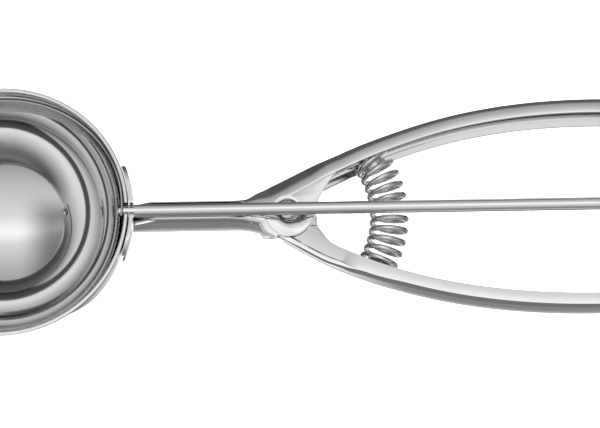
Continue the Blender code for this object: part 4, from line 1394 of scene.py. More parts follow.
@dataclass
class Bowl:
    """The bowl and the plate that joins it to the neck."""

    radius: float = BOWL_RADIUS
    wall: float = 0.0010
    rim: float = 0.0026
    rod_hole: float = 0.0018
    pin_hole: float = 0.0013
    slot: float = 0.00275
    plate_gap: float = GAP
    plate_sheet: float = 0.0009
    plate_half_width: float = 0.0115
    plate_depth: float = 0.0170
    plate_corner: float = 0.0048

    def build(self) -> None:
        """Make the bowl and its plate."""
        self._bowl()
        self._plate()

    def _slot_tool(self) -> bpy.types.Object:
        """The keyhole that the rod passes: a round hole with a narrow slot over it.

        Returns:
            The cutting tool.
        """
        near, far = self.radius / 2, self.radius * 2
        hole = Bench.bar("hole", self.rod_hole, Vector((near, 0, 0)), Vector((far, 0, 0)), 48)
        slot = Bench.box("slot", Vector((near, -self.slot / 2, 0)),
                         Vector((far, self.slot / 2, self.rim * 3)))
        Bench.combine(hole, slot, "UNION")
        return hole

    def _bowl(self) -> None:
        """Spun hemisphere with a rounded rim."""
        inner = self.radius - self.wall
        steps = 48
        turns = [math.pi / 2 * i / steps for i in range(steps + 1)]
        inside = [(inner * math.sin(a), -inner * math.cos(a)) for a in turns]
        outside = [(self.radius * math.cos(a), -self.radius * math.sin(a)) for a in turns]
        inside[0] = (0.0, -inner)
        outside[-1] = (0.0, -self.radius)
        soft = self.wall * 0.28
        lip = ([(inner, self.rim - soft)]
               + arc((inner + soft, self.rim - soft), soft, math.pi * 0.83, math.pi / 2, 4)
               + arc((self.radius - soft, self.rim - soft), soft, math.pi / 2, 0, 5))
        bowl = Bench.lathe("bowl", inside + lip + outside, 192)
        Bench.combine(bowl, self._slot_tool())
        Bench.combine(bowl, Bench.bar("pin_hole", self.pin_hole, Vector((-self.radius * 2, 0, 0)),
                                      Vector((-self.radius / 2, 0, 0)), 32))
        Bench.finish(bowl, "bowl_shell", MIRROR, Body.FRAME, "bowl", angle=25)

    def _plate(self) -> None:
        """Sheet that hugs the bowl, with a rounded tongue below and softened edges."""
        inner = self.radius + self.plate_gap
        outer = inner + self.plate_sheet
        steps = 40
        ring = []
        for radius, order in ((inner, 1), (outer, -1)):
            turns = [math.radians(-80 + 80 * i / steps) for i in range(steps + 1)]
            run = [(radius * math.cos(a), radius * math.sin(a)) for a in turns]
            ring += (run + [(radius, self.rim)])[::order]
        plate = Bench.lathe("plate", ring, 192)
        half = self.plate_half_width
        low = -self.plate_depth
        corner = arc((half - self.plate_corner, self.rim - self.plate_corner), self.plate_corner,
                     0, math.pi / 2, 16)
        outline = (corner + [(-x, y) for x, y in corner[::-1]]
                   + arc((0, low + half / 2), half / 2, -math.pi, 0, 32))
        tool = Bench.plate("shape", outline, self.radius / 4, self.radius * 2)
        tool.data.transform(upright_at(0))
        Bench.combine(plate, tool, "INTERSECT")
        Bench.combine(plate, self._slot_tool())
        Bench.soften(plate, 0.00012, 2)
        Bench.finish(plate, "saddle_plate", POLISHED, Body.FRAME, "saddle")


@dataclass
class Pivot:
    """The rivet that the two handles turn on, with its spacer tube."""

    x: float = PIVOT_X
    near: float = -0.0018
    far: float = -0.0140
    dish_depth: float = 0.0009
    boss: float = 0.0015
    gap: float = GAP
    radius: float = 0.00125
    head_radius: float = 0.0018
    head_height: float = 0.0005
    tube_wall: float = 0.0012

    def build(self) -> None:
        """Make rivet and spacer."""
        near, far = self.near - self.dish_depth + self.gap, self.far + self.dish_depth - self.gap
        place = Matrix.Translation((self.x, 0, 0))
        head = crown(self.head_radius, self.head_height, 9)
        profile = ([(r, near + z) for r, z in head] + [(self.radius, near), (self.radius, far)]
                   + [(r, far - z) for r, z in head[::-1]])
        rivet = Bench.lathe("rivet", profile, 64, place)
        Bench.finish(rivet, "pivot_rivet_steel", FORMED, Body.FRAME, "pivot_rivet")
        bore = self.radius + self.gap
        top, bottom = self.near - self.boss - self.gap, self.far + self.boss + self.gap
        tube = Bench.lathe("spacer", [(bore, top), (bore + self.tube_wall, top),
                                      (bore + self.tube_wall, bottom), (bore, bottom)], 64, place)
        Bench.soften(tube, 0.00015, 2)
        Bench.finish(tube, "pivot_spacer_tube", MACHINED, Body.FRAME, "pivot_spacer")


# Lays a piece that was spun about Z along the rod, its -Z end to the rear or to the front
X_FROM_Z = Matrix(((0, 0, -1, 0), (0, 1, 0, 0), (1, 0, 0, 0), (0, 0, 0, 1)))
X_FROM_Z_BACK = Matrix.Rotation(math.pi, 4, "Z") @ X_FROM_Z


def upright_at(x: float) -> Matrix:
    """Turns a plate drawn in XY so that it stands square to the rod at a place along it."""
    return Matrix(((0, 0, 1, x), (1, 0, 0, 0), (0, 1, 0, 0), (0, 0, 0, 1)))


@dataclass
class RodLine:
    """Everything that turns with the rod: rod, clip and pinion."""

    radius: float = 0.0015
    tenon: float = 0.0010
    tenon_head: float = 0.0016
    head_height: float = 0.0005
    blade_inside: float = 0.02795
    shoulder: float = 0.02875
    gap: float = GAP
    clip_x: float = 0.1595
    clip_sheet: float = 0.0006
    clip_radius: float = 0.0026
    end: float = 0.1620
    pinion_x: float = 0.1552
    module: float = MODULE
    teeth: int = 10
    pinion_length: float = 0.0056
    thinning: float = 0.0002
    relief: float = 0.03

    def build(self) -> None:
        """Make rod, clip and pinion."""
        self._rod()
        self._clip()
        self._pinion()

    def _rod(self) -> None:
        """Ground rod with a closed head inside the blade and a clip groove at the rear."""
        head = self.blade_inside - self.gap
        soft, broken = 0.0003, 0.0001
        first, last = self.clip_x - self.gap, self.clip_x + self.clip_sheet + self.gap
        line = [(head - h, r) for r, h in crown(self.tenon_head, self.head_height, 6)]
        line += [(head, self.tenon), (self.shoulder, self.tenon)]
        line += [(self.shoulder, self.radius - soft / 2), (self.shoulder + soft / 2, self.radius)]
        line += [(first - broken, self.radius), (first, self.radius - broken), (first, self.tenon),
                 (last, self.tenon), (last, self.radius - broken), (last + broken, self.radius)]
        line += [(self.end - 0.0005, self.radius), (self.end - 0.0002, self.radius - 0.00012),
                 (self.end, self.radius - 0.0004), (self.end, 0.0)]
        rod = Bench.lathe("rod", [(r, -x) for x, r in line], 96, X_FROM_Z)
        Bench.finish(rod, "rod_steel", ROD_FINISH, Body.ROD, "rod")

    def _clip(self) -> None:
        """Open spring clip in the rod's groove."""
        half = math.radians(35)
        inner = self.tenon + self.gap / 2
        outline = (arc((0, 0), self.clip_radius, half, 2 * math.pi - half, 64)
                   + arc((0, 0), inner, 2 * math.pi - half, half, 48))
        clip = Bench.plate("clip", outline, 0, self.clip_sheet)
        clip.data.transform(upright_at(self.clip_x))
        Bench.soften(clip, 0.00010, 2, 40)
        Bench.finish(clip, "rod_clip_steel", MACHINED, Body.ROD, "rod_clip")

    def _half_tooth(self, radius: float) -> float:
        """Half the angle of a tooth at a radius, by its involute.

        Args:
            radius: The radius.

        Returns:
            The angle in radians.
        """
        pitch = self.module * self.teeth / 2
        base = pitch * math.cos(PRESSURE)
        half = math.pi / (2 * self.teeth) - self.thinning / (2 * pitch)
        at_pitch = math.tan(PRESSURE) - PRESSURE
        if radius <= base:
            return half + at_pitch - self.relief
        roll = math.acos(base / radius)
        return half + at_pitch - (math.tan(roll) - roll)

    def _pinion(self) -> None:
        """Ten involute teeth with softened tips, bored for the rod."""
        pitch = self.module * self.teeth / 2
        root, tip = pitch - 1.15 * self.module, pitch + 0.85 * self.module
        levels = [root, root + 0.2 * self.module, root + 0.45 * self.module]
        levels += [pitch - 0.3 * self.module, pitch, pitch + 0.3 * self.module]
        levels += [pitch + 0.6 * self.module, tip]
        outline = []
        for tooth in range(self.teeth):
            middle = math.pi / 2 + 2 * math.pi * tooth / self.teeth
            for sign, run in ((-1, levels), (1, levels[::-1])):
                for radius in run:
                    turn = middle + sign * self._half_tooth(radius)
                    outline.append((radius * math.cos(turn), radius * math.sin(turn)))
        half = self.pinion_length / 2
        pinion = Bench.plate("pinion", outline, -half, half)
        Bench.drill(pinion, self.radius + self.gap, [(0, 0)], -2 * half, 2 * half, 64)
        pinion.data.transform(upright_at(self.pinion_x))
        Bench.soften(pinion, 0.00012, 2, 50)
        Bench.finish(pinion, "pinion_steel", MACHINED, Body.ROD, "pinion")


@dataclass
class Blade:
    """The sweeping strip inside the bowl and the pin of its far end."""

    radius: float = 0.02893
    sheet: float = 0.0005
    width: float = 0.0057
    overrun: float = 0.0025
    rest: float = math.radians(-10.3)
    edge: float = 0.00016
    tenon_hole: float = 0.0013
    pin: float = 0.0010
    pin_head: float = 0.0016
    head_height: float = 0.0005
    out: float = 0.0303
    cap_radius: float = 0.0021
    cap_height: float = 0.0008

    def build(self) -> None:
        """Make blade and far pin."""
        self._strip()
        self._far_pin()

    def _strip(self) -> None:
        """Half ring of brushed strip with broken edges and square ends."""
        over = self.overrun / self.radius
        steps, half, e = 180, self.width / 2, self.edge
        crown = [math.asin((half - e) * i / 4 / self.radius) for i in range(-4, 5)]
        skin = [(self.radius * math.cos(a), self.radius * math.sin(a)) for a in crown]
        back = [(r - self.sheet, z) for r, z in skin]
        loop = (skin + [(skin[-1][0] - e, half), (back[-1][0] + e, half)] + back[::-1]
                + [(back[0][0] + e, -half), (skin[0][0] - e, -half)])
        rows = []
        for i in range(steps + 1):
            turn = -over + (math.pi + 2 * over) * i / steps
            rows.append([Vector((r * math.cos(turn), r * math.sin(turn), z))
                         for r, z in loop + loop[:1]])
        strip = Bench.sheet("strip", rows)
        Bench.close(strip)
        strip.data.transform(Matrix.Rotation(self.rest, 4, "X"))
        reach = self.radius * 1.5
        Bench.combine(strip, Bench.bar(
            "tenon_hole", self.tenon_hole, Vector((-reach, 0, 0)), Vector((reach, 0, 0)), 48))
        back = Matrix.Rotation(-self.rest, 4, "X")

        def place(point: Vector) -> Point2:
            """Metres along the strip and across it."""
            flat = back @ point
            return (math.atan2(flat.y, flat.x) % (2 * math.pi - 0.5) * self.radius, flat.z)

        Bench.unwrap(strip, place)
        Bench.finish(strip, "blade_strip", BRUSHED, Body.ROD, "blade")

    def _far_pin(self) -> None:
        """Rivet with a rounded cap outside the bowl."""
        head = self.radius - self.sheet - GAP
        line = [(head - h, r) for r, h in crown(self.pin_head, self.head_height, 6)]
        line += [(head, self.pin), (self.out, self.pin)]
        line += [(self.out + h, r) for r, h in crown(self.cap_radius, self.cap_height, 6)[::-1]]
        pin = Bench.lathe("far_pin", [(r, -x) for x, r in line], 64, X_FROM_Z_BACK)
        Bench.finish(pin, "far_pin_steel", FORMED, Body.FRAME, "far_pin")


@dataclass
class Drive:
    """Rack on the lever, bracket on the fixed arm, and the small rivets of both."""

    pivot: float = PIVOT_X
    radius: float = 0.0880
    module: float = MODULE
    pinion_pitch: float = 0.0045
    sheet: float = 0.0016
    root_depth: float = 1.25 * MODULE
    tip_height: float = 0.85 * MODULE
    spine: float = 0.0026
    squeeze: float = math.radians(8.2)
    seat_gap: float = GAP
    foot_length: float = 0.0110
    foot_sheet: float = 0.0012
    bracket_sheet: float = 0.0010
    slot_half: float = 0.0034
    bore: float = 0.0018
    bracket_foot: float = 0.0230
    bracket_foot_sheet: float = 0.0008
    rivet_radius: float = 0.0007
    rivet_head: float = 0.0013
    rivet_height: float = 0.0006
    rivet_spacing: float = 0.0038
    bend: float = 0.0012

    @property
    def middle(self) -> float:
        """Place of the pinion along the rod."""
        return self.pivot + self.radius

    @property
    def hole(self) -> float:
        """Radius of the holes that the small rivets pass."""
        return self.rivet_radius + self.seat_gap

    @property
    def rack_top(self) -> float:
        """Z of the rack's plain upper edge."""
        return self.pinion_pitch + self.root_depth + self.spine

    def build(self) -> None:
        """Make rack, bracket and rivets."""
        self._rack()
        self._bracket()
        lever, fixed = Lever(), FixedHandle()
        for i, (x, y) in enumerate(self.rack_rivets()):
            self._rivet(f"rack_rivet_{i + 1}", x, y, lever.near - lever.sheet,
                        lever.near + 2 * self.seat_gap + self.foot_sheet, Body.LEVER)
        for i, (x, y) in enumerate(self.bracket_rivets()):
            self._rivet(f"bracket_rivet_{i + 1}", x, y, fixed.near - fixed.sheet,
                        fixed.near + 2 * self.seat_gap + self.bracket_foot_sheet, Body.FRAME)

    def rack_rivets(self) -> list[Point2]:
        """Places of the two rivets in the rack's foot.

        Returns:
            Their middles in XY.
        """
        lever = Lever()
        out = []
        for i in range(2):
            x = self._leg_x() + self.sheet + 0.0022 + i * self.rivet_spacing
            out.append((x, height_at(lever.outer(), x) + lever.flange / 2))
        return out

    def bracket_rivets(self) -> list[Point2]:
        """Places of the two rivets in the bracket's feet.

        Returns:
            Their middles in XY.
        """
        fixed = FixedHandle()
        out = []
        for side in (-1, 1):
            reach = self.slot_half + self.bracket_sheet + self.bracket_foot / 2
            x = self.middle + side * reach / 2
            out.append((x, height_at(fixed.outer(), x) - fixed.flange / 2 - self.bend * 0.2))
        return out

    def _leg_x(self) -> float:
        """Place of the rack's upright leg along the rod."""
        return self.pivot + math.sqrt(self.radius ** 2 - Lever().wide_y ** 2)

    def _foot(self, run: list[Point2], out: float, back: float, flange: float,
              first: float, last: float) -> list[Point2]:
        """A foot's outline on a flange.

        Args:
            run: The arm's outer line.
            out: The foot's distance from the outer line.
            back: Its distance from the flange's inner edge.
            flange: The flange's width.
            first: X where it starts.
            last: X where it ends.

        Returns:
            The outline's corners.
        """
        spans = 24
        xs = [first + (last - first) * i / spans for i in range(spans + 1)]
        side = 1 if run[0][1] > 0 else -1
        outer = [(x, height_at(run, x) - side * out) for x in xs]
        inner = [(x, height_at(run, x) - side * (flange - back)) for x in xs]
        return outer + inner[::-1]

    def _rack(self) -> None:
        """Toothed strip bent round the pivot, on an upright leg and a riveted foot."""
        lever = Lever()
        run = lever.outer()
        pitch = math.pi * self.module
        root, tip = self.pinion_pitch + self.root_depth, self.pinion_pitch - self.tip_height
        leg_x = self._leg_x()
        leg_out = -height_at(run, leg_x) - self.bend * 0.4
        leg_in = leg_out - lever.flange + self.bend * 0.7
        seat = lever.near + self.seat_gap
        outer_s, inner_s = (-self.radius * math.asin(y / self.radius) for y in (leg_out, leg_in))
        half, slant = pitch / 4 + 0.0001, math.tan(PRESSURE)
        mouth = half + slant * (self.pinion_pitch - tip)
        deep = half - slant * (root - self.pinion_pitch)
        spare = 1.6 * pitch
        first = math.floor(spare / pitch)
        last = math.ceil(-(self.radius * self.squeeze + spare) / pitch)
        teeth: list[Point2] = []
        for gap in range(first, last - 1, -1):
            middle = gap * pitch
            teeth += [(middle + mouth, tip), (middle + deep, root), (middle - deep, root),
                      (middle - mouth, tip)]
        front, back = teeth[0][0] + pitch / 4, teeth[-1][0] - pitch / 4
        top = [(outer_s + (front - outer_s) * i / 48, self.rack_top) for i in range(49)]
        outline = top + [(front, tip)] + teeth
        outline += [(back, tip), (back - 0.0006, root), (inner_s, root)]
        outline += [(inner_s, seat), (outer_s, seat)]
        strip = Bench.plate("rack", outline, -self.sheet / 2, self.sheet / 2)
        Bench.soften(strip, 0.00012, 2, 50)
        Bench.apply(strip, "TRIANGULATE")
        for corner in strip.data.vertices:
            turn, radius = corner.co.x / self.radius, self.radius + corner.co.z
            corner.co = (self.pivot + radius * math.cos(turn), radius * math.sin(turn), corner.co.y)
        start = leg_x - self.sheet
        outline = self._foot(run, self.bend * 0.3, self.bend * 0.2, lever.flange,
                             start, start + self.foot_length)
        foot = Bench.plate("foot", outline, seat, seat + self.foot_sheet)
        Bench.soften(foot, 0.00015, 2, 50)
        Bench.combine(strip, foot, "UNION")
        Bench.drill(strip, self.hole, self.rack_rivets(), -0.005, 0.001)
        Bench.finish(strip, "rack_strip", FORMED, Body.LEVER, "rack")

    def _bracket(self) -> None:
        """Folded bracket that carries the rod's rear end above the rack."""
        fixed = FixedHandle()
        run = fixed.outer()
        half = self.slot_half + self.bracket_sheet
        out = height_at(run, self.middle - half) - self.bend
        inside = out - fixed.flange + self.bend * 1.2
        hub = self.bore + 0.0012
        seat = fixed.near + self.seat_gap
        low = self.rack_top + self.seat_gap
        top = low + self.bracket_sheet
        mid = seat + self.bracket_foot_sheet / 2
        outline = ([(hub + 0.0008, top), (-hub, top)]
                   + arc((0, 0), hub, math.pi, 2 * math.pi - math.radians(25), 40)
                   + [(inside, mid), (out, mid), (out, seat + 0.0022), (inside, seat + 0.0032),
                      (hub + 0.003, hub)])
        bracket = Bench.plate("bracket", outline, -half, half)
        bracket.data.transform(upright_at(self.middle))
        slot = Bench.box("slot", Vector((self.middle - self.slot_half, -0.03, -0.02)),
                         Vector((self.middle + self.slot_half, 0.05, low)))
        Bench.combine(bracket, slot)
        Bench.soften(bracket, 0.00020, 3, 50)
        length = self.bracket_foot / 2
        outline = self._foot(run, self.bend * 0.6, self.bend * 0.2, fixed.flange,
                             self.middle - length, self.middle + length)
        foot = Bench.plate("foot", outline, seat, seat + self.bracket_foot_sheet)
        Bench.soften(foot, 0.00015, 2, 50)
        Bench.combine(bracket, foot, "UNION")
        Bench.combine(bracket, Bench.bar("bore", self.bore, Vector((self.middle - 0.01, 0, 0)),
                                         Vector((self.middle + 0.01, 0, 0)), 64))
        Bench.drill(bracket, self.hole, self.bracket_rivets(), -0.005, 0.001)
        Bench.finish(bracket, "gear_bracket_steel", FORMED, Body.FRAME, "gear_bracket")

    def _rivet(self, name: str, x: float, y: float, low: float, seat: float, body: Body) -> None:
        """One round-headed rivet, head up.

        Args:
            name: The CAD node that it stands for.
            x: Its middle along the rod.
            y: Its middle across it.
            low: Z of its lower end.
            seat: Z that its head sits on.
            body: The body that it rides on.
        """
        profile = [(r, seat + h) for r, h in crown(self.rivet_head, self.rivet_height, 9)]
        profile += [(self.rivet_radius, seat), (self.rivet_radius, low), (0.0, low)]
        rivet = Bench.lathe(name, profile, 48, Matrix.Translation((x, y, 0)))
        Bench.finish(rivet, name + "_steel", FORMED, body, name)


@dataclass
class SpringSet:
    """The bent compression spring between the arms and the studs in its ends."""

    pivot: float = PIVOT_X
    arc_radius: float = 0.0242
    coil_radius: float = 0.00405
    wire: float = 0.0013
    coils: int = 11
    top: float = math.radians(34.0)
    bottom: float = math.radians(-32.0)
    middle_z: float = -0.0079
    per_coil: int = 40
    sides: int = 16
    stud_radius: float = 0.0027
    stud_length: float = 0.0042
    stud_gap: float = 0.00039
    stud_step: float = 0.00003

    def build(self) -> None:
        """Make spring and studs."""
        self._spring()
        self._stud("fixed_stud", self.top, 1, FixedHandle(), Body.FRAME)
        self._stud("lever_stud", self.bottom, -1, Lever(), Body.LEVER)

    def _point(self, share: float) -> Vector:
        """A place on the wire's centreline.

        Args:
            share: 0 at the fixed arm, 1 at the lever.

        Returns:
            The place.
        """
        turn = self.top + (self.bottom - self.top) * share
        coil = 2 * math.pi * self.coils * share
        radius = self.arc_radius + self.coil_radius * math.cos(coil)
        return Vector((self.pivot + radius * math.cos(turn), radius * math.sin(turn),
                       self.middle_z + self.coil_radius * math.sin(coil)))

    def _spring(self) -> None:
        """One unbroken wire, each coil in its place, with rounded cut ends."""
        count = self.coils * self.per_coil
        line = [self._point(i / count) for i in range(count + 1)]
        first = (line[0] - line[1]).normalized()
        last = (line[-1] - line[-2]).normalized()
        line = [line[0] + first * self.wire] + line + [line[-1] + last * self.wire]
        centre = Vector((self.pivot, 0, self.middle_z))
        radius = self.wire / 2
        rows = []
        for i, place in enumerate(line):
            along = (line[min(i + 1, len(line) - 1)] - line[max(i - 1, 0)]).normalized()
            turn = math.atan2(place.y - centre.y, place.x - centre.x)
            hub = centre + self.arc_radius * Vector((math.cos(turn), math.sin(turn), 0))
            out = place - hub
            out = (out - along * out.dot(along)).normalized()
            side = along.cross(out)
            rows.append([place + radius * (out * math.cos(a) + side * math.sin(a))
                         for a in (2 * math.pi * k / self.sides for k in range(self.sides + 1))])
        spring = Bench.sheet("spring", rows)
        Bench.close(spring)
        Bench.soften(spring, 0.00015, 2, 60)
        Bench.finish(spring, "spring_wire", WIRE, None, "spring", angle=45)
        ends = [centre + BOWL_CENTRE + self.arc_radius * Vector((math.cos(a), math.sin(a), 0))
                for a in (self.top, self.bottom)]
        tuple(ends[0])
        tuple(ends[1])
        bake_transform(spring)

    def _stud(self, name: str, turn: float, sign: int, arm: FixedHandle | Lever,
              body: Body) -> None:
        """A round stud standing on an arm's web inside the spring's last coils.

        Args:
            name: The CAD node that it stands for.
            turn: The spring's angle there.
            sign: 1 where the spring's line runs up to the web, -1 where it runs down to it.
            arm: The arm that carries it.
            body: The body that it rides on.
        """
        run = arm.outer()
        out = Vector((math.cos(turn), math.sin(turn), 0))
        lead = sign * Vector((-math.sin(turn), math.cos(turn), 0))
        seat = Vector((self.pivot, 0, self.middle_z)) + self.arc_radius * out
        reach = -self.stud_length
        while all(abs(p.y) < abs(height_at(run, p.x)) - arm.sheet - self.stud_gap
                  for side in (-1, 0, 1)
                  for p in [seat + lead * reach + side * self.stud_radius * out]):
            reach += self.stud_step
        base = seat + lead * reach
        stud = Bench.bar(name, self.stud_radius, base, base - lead * self.stud_length, 64)
        Bench.soften(stud, 0.00035, 3, 50)
        Bench.finish(stud, name + "_steel", MACHINED, body, name)


@dataclass
class Studio:
    """Floor, light and camera.

    The light tent's walls are (angle, level) tables, in degrees round the scoop's length and
    display levels from 0 to 255. Open walls are what steel reflects straight from the tent, and
    deep walls what it reflects from other steel. A dark spot of the deep walls is its middle and
    half width along the scoop, its middle and half height in degrees, and the light that it takes.
    """

    distance: float = 0.600
    tilt: float = math.radians(15.0)
    roll: float = math.radians(0.94)
    focal_px: float = 2556.0
    frame_px: float = 600.0
    sensor: float = 36.0
    aim: tuple[float, float, float] = (0.0702, -0.0014, 0.0)
    floor_size: float = 6.0
    card_size: float = 0.14
    card_place: tuple[float, float, float] = (-0.045, -0.060, -0.0298)
    lamp_height: float = 1.2
    lamp_size: float = 3.0
    lamp_power: float = 60.0
    steel: float = 0.70
    open_walls: Table = (
        (-180, 182), (-174, 158), (-169, 132), (-164, 114), (-150, 108), (-110, 112), (-90, 116),
        (-75, 126), (-65, 145), (-55, 167), (-45, 184), (-35, 194), (-25, 204), (-15, 215),
        (-8, 226), (-2, 243), (4, 250), (9, 236), (15, 214), (25, 198), (35, 183), (45, 170),
        (55, 160), (65, 150), (75, 124), (90, 92), (110, 84), (125, 85), (145, 112), (158, 180),
        (170, 205), (180, 182))
    deep_walls: Table = (
        (-180, 235), (-150, 225), (-110, 215), (-80, 190), (-65, 90), (-55, 55), (-45, 72),
        (-38, 80), (-32, 110), (-26, 170), (-20, 200), (-14, 214), (-5, 224), (5, 202), (15, 178),
        (25, 146), (35, 112), (45, 101), (55, 112), (63, 80), (75, 140), (100, 190), (150, 225),
        (180, 235))
    dark_spots: tuple[tuple[float, float, float, float, float], ...] = (
        (0.11, 0.11, -23.0, 11.0, 0.90), (-0.20, 0.28, 25.0, 5.0, 0.70))

    def build(self) -> None:
        """Make floor, world, lamp and camera."""
        self._floor()
        self._card()
        self._world()
        self._lamp()
        self._camera()
        bpy.context.scene.view_settings.view_transform = "Standard"

    @staticmethod
    def _plane(name: str, size: float, place: Vector, base: float, glow: float) -> bpy.types.Object:
        """A plane of the studio, in a grey that also glows.

        Args:
            name: The plane's name, and with _paint its material's.
            size: Its width and depth.
            place: Its middle.
            base: Its grey level, 0 to 1.
            glow: Its emission strength.

        Returns:
            The plane.
        """
        Bench.clear()
        bpy.ops.mesh.primitive_plane_add(size=size, location=place)
        plane = bpy.context.object
        plane.name = name
        paint = bpy.data.materials.new(name + "_paint")
        paint.use_nodes = True
        surface = paint.node_tree.nodes["Principled BSDF"]
        surface.inputs["Base Color"].default_value = (base, base, base, 1.0)
        surface.inputs["Emission Color"].default_value = (1.0, 1.0, 1.0, 1.0)
        surface.inputs["Emission Strength"].default_value = glow
        plane.data.materials.append(paint)
        return plane

    def _floor(self) -> None:
        """A plain pale floor that mirrors don't see."""
        floor = self._plane("floor", self.floor_size, Vector((0, 0, -0.0002)), 0.95, 0.55)
        surface = floor.data.materials[0].node_tree.nodes["Principled BSDF"]
        surface.inputs["Roughness"].default_value = 0.9
        surface.inputs["Specular IOR Level"].default_value = 0.0
        floor.visible_glossy = False

    def _card(self) -> None:
        """A white card that only the bowl's outside sees."""
        place = BOWL_CENTRE + Vector(self.card_place)
        card = self._plane("bowl_card", self.card_size, place, 0.0, 1.6)
        card.visible_camera = card.visible_diffuse = card.visible_shadow = False

    def _world(self) -> None:
        """A light tent whose walls differ for the first and for later reflections."""
        world = bpy.data.worlds.new("light_tent")
        bpy.context.scene.world = world
        world.use_nodes = True
        tree = world.node_tree
        tree.nodes.clear()
        place = tree.nodes.new("ShaderNodeTexCoord")
        split = tree.nodes.new("ShaderNodeSeparateXYZ")
        tree.links.new(place.outputs["Generated"], split.inputs[0])
        angle = Effects.calc(tree, "ARCTAN2", split.outputs[1], split.outputs[2])
        path = tree.nodes.new("ShaderNodeLightPath")
        later = Effects.calc(tree, "GREATER_THAN", path.outputs["Ray Depth"], 2.5)
        first = self._wall(tree, angle, self.open_walls, 1 / self.steel)
        second = self._wall(tree, angle, self.deep_walls, 1 / self.steel ** 2)
        sideways = Effects.calc(tree, "ABSOLUTE", split.outputs[0])
        ends = Effects.ranged(tree, sideways, 0.15, 0.70, 0.0, 0.66)
        upper = Effects.ranged(tree, angle, -0.70, -0.14, 0.0, -1.0)
        dimmed = Effects.calc(tree, "MULTIPLY_ADD", ends, upper, 1.0)
        first = Effects.calc(tree, "MULTIPLY", first, dimmed)
        off = Effects.calc(tree, "ABSOLUTE", Effects.calc(tree, "SUBTRACT", split.outputs[0], 0.2))
        middle = Effects.ranged(tree, off, 0.10, 0.85, 1.0, 0.35)
        second = Effects.calc(tree, "MULTIPLY", second, middle)
        for spot in self.dark_spots:
            dim = self._spot(tree, split.outputs[0], angle, *spot)
            second = Effects.calc(tree, "MULTIPLY", second, dim)
        mixed = tree.nodes.new("ShaderNodeMix")
        tree.links.new(later, mixed.inputs[0])
        tree.links.new(first, mixed.inputs[2])
        tree.links.new(second, mixed.inputs[3])
        tent = tree.nodes.new("ShaderNodeBackground")
        tree.links.new(mixed.outputs[0], tent.inputs["Strength"])
        plain = tree.nodes.new("ShaderNodeBackground")
        mix = tree.nodes.new("ShaderNodeMixShader")
        tree.links.new(path.outputs["Is Camera Ray"], mix.inputs[0])
        for node, socket in ((tent, 1), (plain, 2)):
            node.inputs["Color"].default_value = (1, 1, 1, 1)
            tree.links.new(node.outputs[0], mix.inputs[socket])
        out = tree.nodes.new("ShaderNodeOutputWorld")
        tree.links.new(mix.outputs[0], out.inputs[0])

    @staticmethod
    def _spot(tree: bpy.types.NodeTree, x: bpy.types.NodeSocket, angle: bpy.types.NodeSocket,
              middle: float, width: float, turn: float, height: float,
              depth: float) -> bpy.types.NodeSocket:
        """A dim patch of the tent, as a factor.

        Args:
            tree: The world's tree.
            x: The direction's share along the scoop.
            angle: Its angle in radians.
            middle: The patch's middle along the scoop.
            width: Half its width there.
            turn: Its middle angle in degrees.
            height: Half its height in degrees.
            depth: How much light it takes away, 0 to 1.

        Returns:
            The factor socket.
        """
        shares = []
        for value, centre, half in ((x, middle, width),
                                    (angle, math.radians(turn), math.radians(height))):
            off = Effects.calc(tree, "ABSOLUTE", Effects.calc(tree, "SUBTRACT", value, centre))
            shares.append(Effects.ranged(tree, off, half * 0.8, half * 1.2, 1.0, 0.0))
        inside = Effects.calc(tree, "MULTIPLY", *shares)
        return Effects.calc(tree, "MULTIPLY_ADD", inside, -depth, 1.0)

    @staticmethod
    def _wall(tree: bpy.types.NodeTree, angle: bpy.types.NodeSocket,
              levels: Table, gain: float) -> bpy.types.NodeSocket:
        """Brightness of the tent by the angle round the scoop's length.

        Args:
            tree: The world's tree.
            angle: The angle in radians, 0 straight up, positive towards the fixed handle.
            levels: (angle in degrees, display level from 0 to 255) pairs.
            gain: What the levels are multiplied by, for the light that the steel swallows.

        Returns:
            The brightness socket.
        """
        share = Effects.calc(tree, "MULTIPLY_ADD", angle, 0.5 / math.pi, 0.5)
        ramp = tree.nodes.new("ShaderNodeValToRGB")
        tree.links.new(share, ramp.inputs[0])
        while len(ramp.color_ramp.elements) > 1:
            ramp.color_ramp.elements.remove(ramp.color_ramp.elements[0])
        for i, (degrees, level) in enumerate(levels):
            at = degrees / 360 + 0.5
            stop = ramp.color_ramp.elements[0] if i == 0 else ramp.color_ramp.elements.new(at)
            stop.position = at
            glow = (level / 255) ** 2.2
            stop.color = (glow, glow, glow, 1)
        return Effects.calc(tree, "MULTIPLY", ramp.outputs["Color"], gain)

    def _lamp(self) -> None:
        """A large soft lamp overhead that lights the floor."""
        Bench.clear()
        bpy.ops.object.light_add(type="AREA", location=(0, 0, self.lamp_height))
        lamp = bpy.context.object
        lamp.name = "soft_overhead"
        lamp.data.shape = "RECTANGLE"
        lamp.data.size = lamp.data.size_y = self.lamp_size
        lamp.data.energy = self.lamp_power
        lamp.visible_glossy = False

    def _camera(self) -> None:
        """The photograph's camera, placed by its distance, tilt and roll."""
        back = Vector((0, -math.sin(self.tilt), math.cos(self.tilt)))
        level = Vector((1, 0, 0))
        rise = level.cross(-back)
        turn = -self.roll
        right = level * math.cos(turn) + rise * math.sin(turn)
        up = -level * math.sin(turn) + rise * math.cos(turn)
        place = BOWL_CENTRE + Vector(self.aim) + back * self.distance
        Bench.clear()
        bpy.ops.object.camera_add(location=place)
        camera = bpy.context.object
        camera.matrix_world = Matrix((
            (right.x, up.x, back.x, place.x), (right.y, up.y, back.y, place.y),
            (right.z, up.z, back.z, place.z), (0, 0, 0, 1)))
        camera.data.sensor_width = self.sensor
        camera.data.lens = self.focal_px * self.sensor / self.frame_px
        camera.data.clip_start = 0.01
        bpy.context.scene.camera = camera


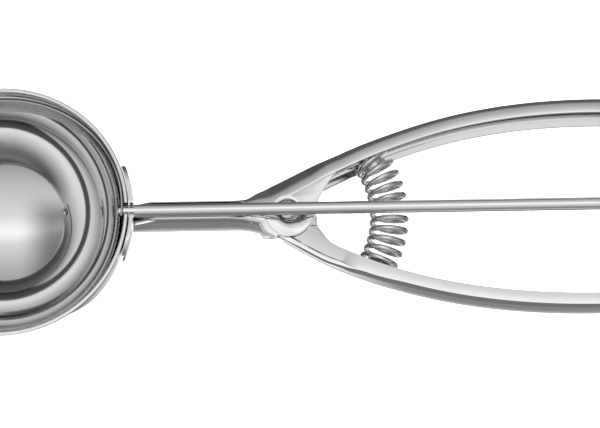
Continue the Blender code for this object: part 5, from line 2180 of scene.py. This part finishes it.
def main() -> None:
    """Build and dress the scoop, then its studio."""
    logging.basicConfig(level=logging.INFO, format="%(name)s: %(message)s")
    for group in (Bowl(), FixedHandle(), Lever(), Pivot(), RodLine(), Blade(), Drive(), SpringSet(),
                  Studio()):
        group.build()


if __name__ == "__main__":
    main()
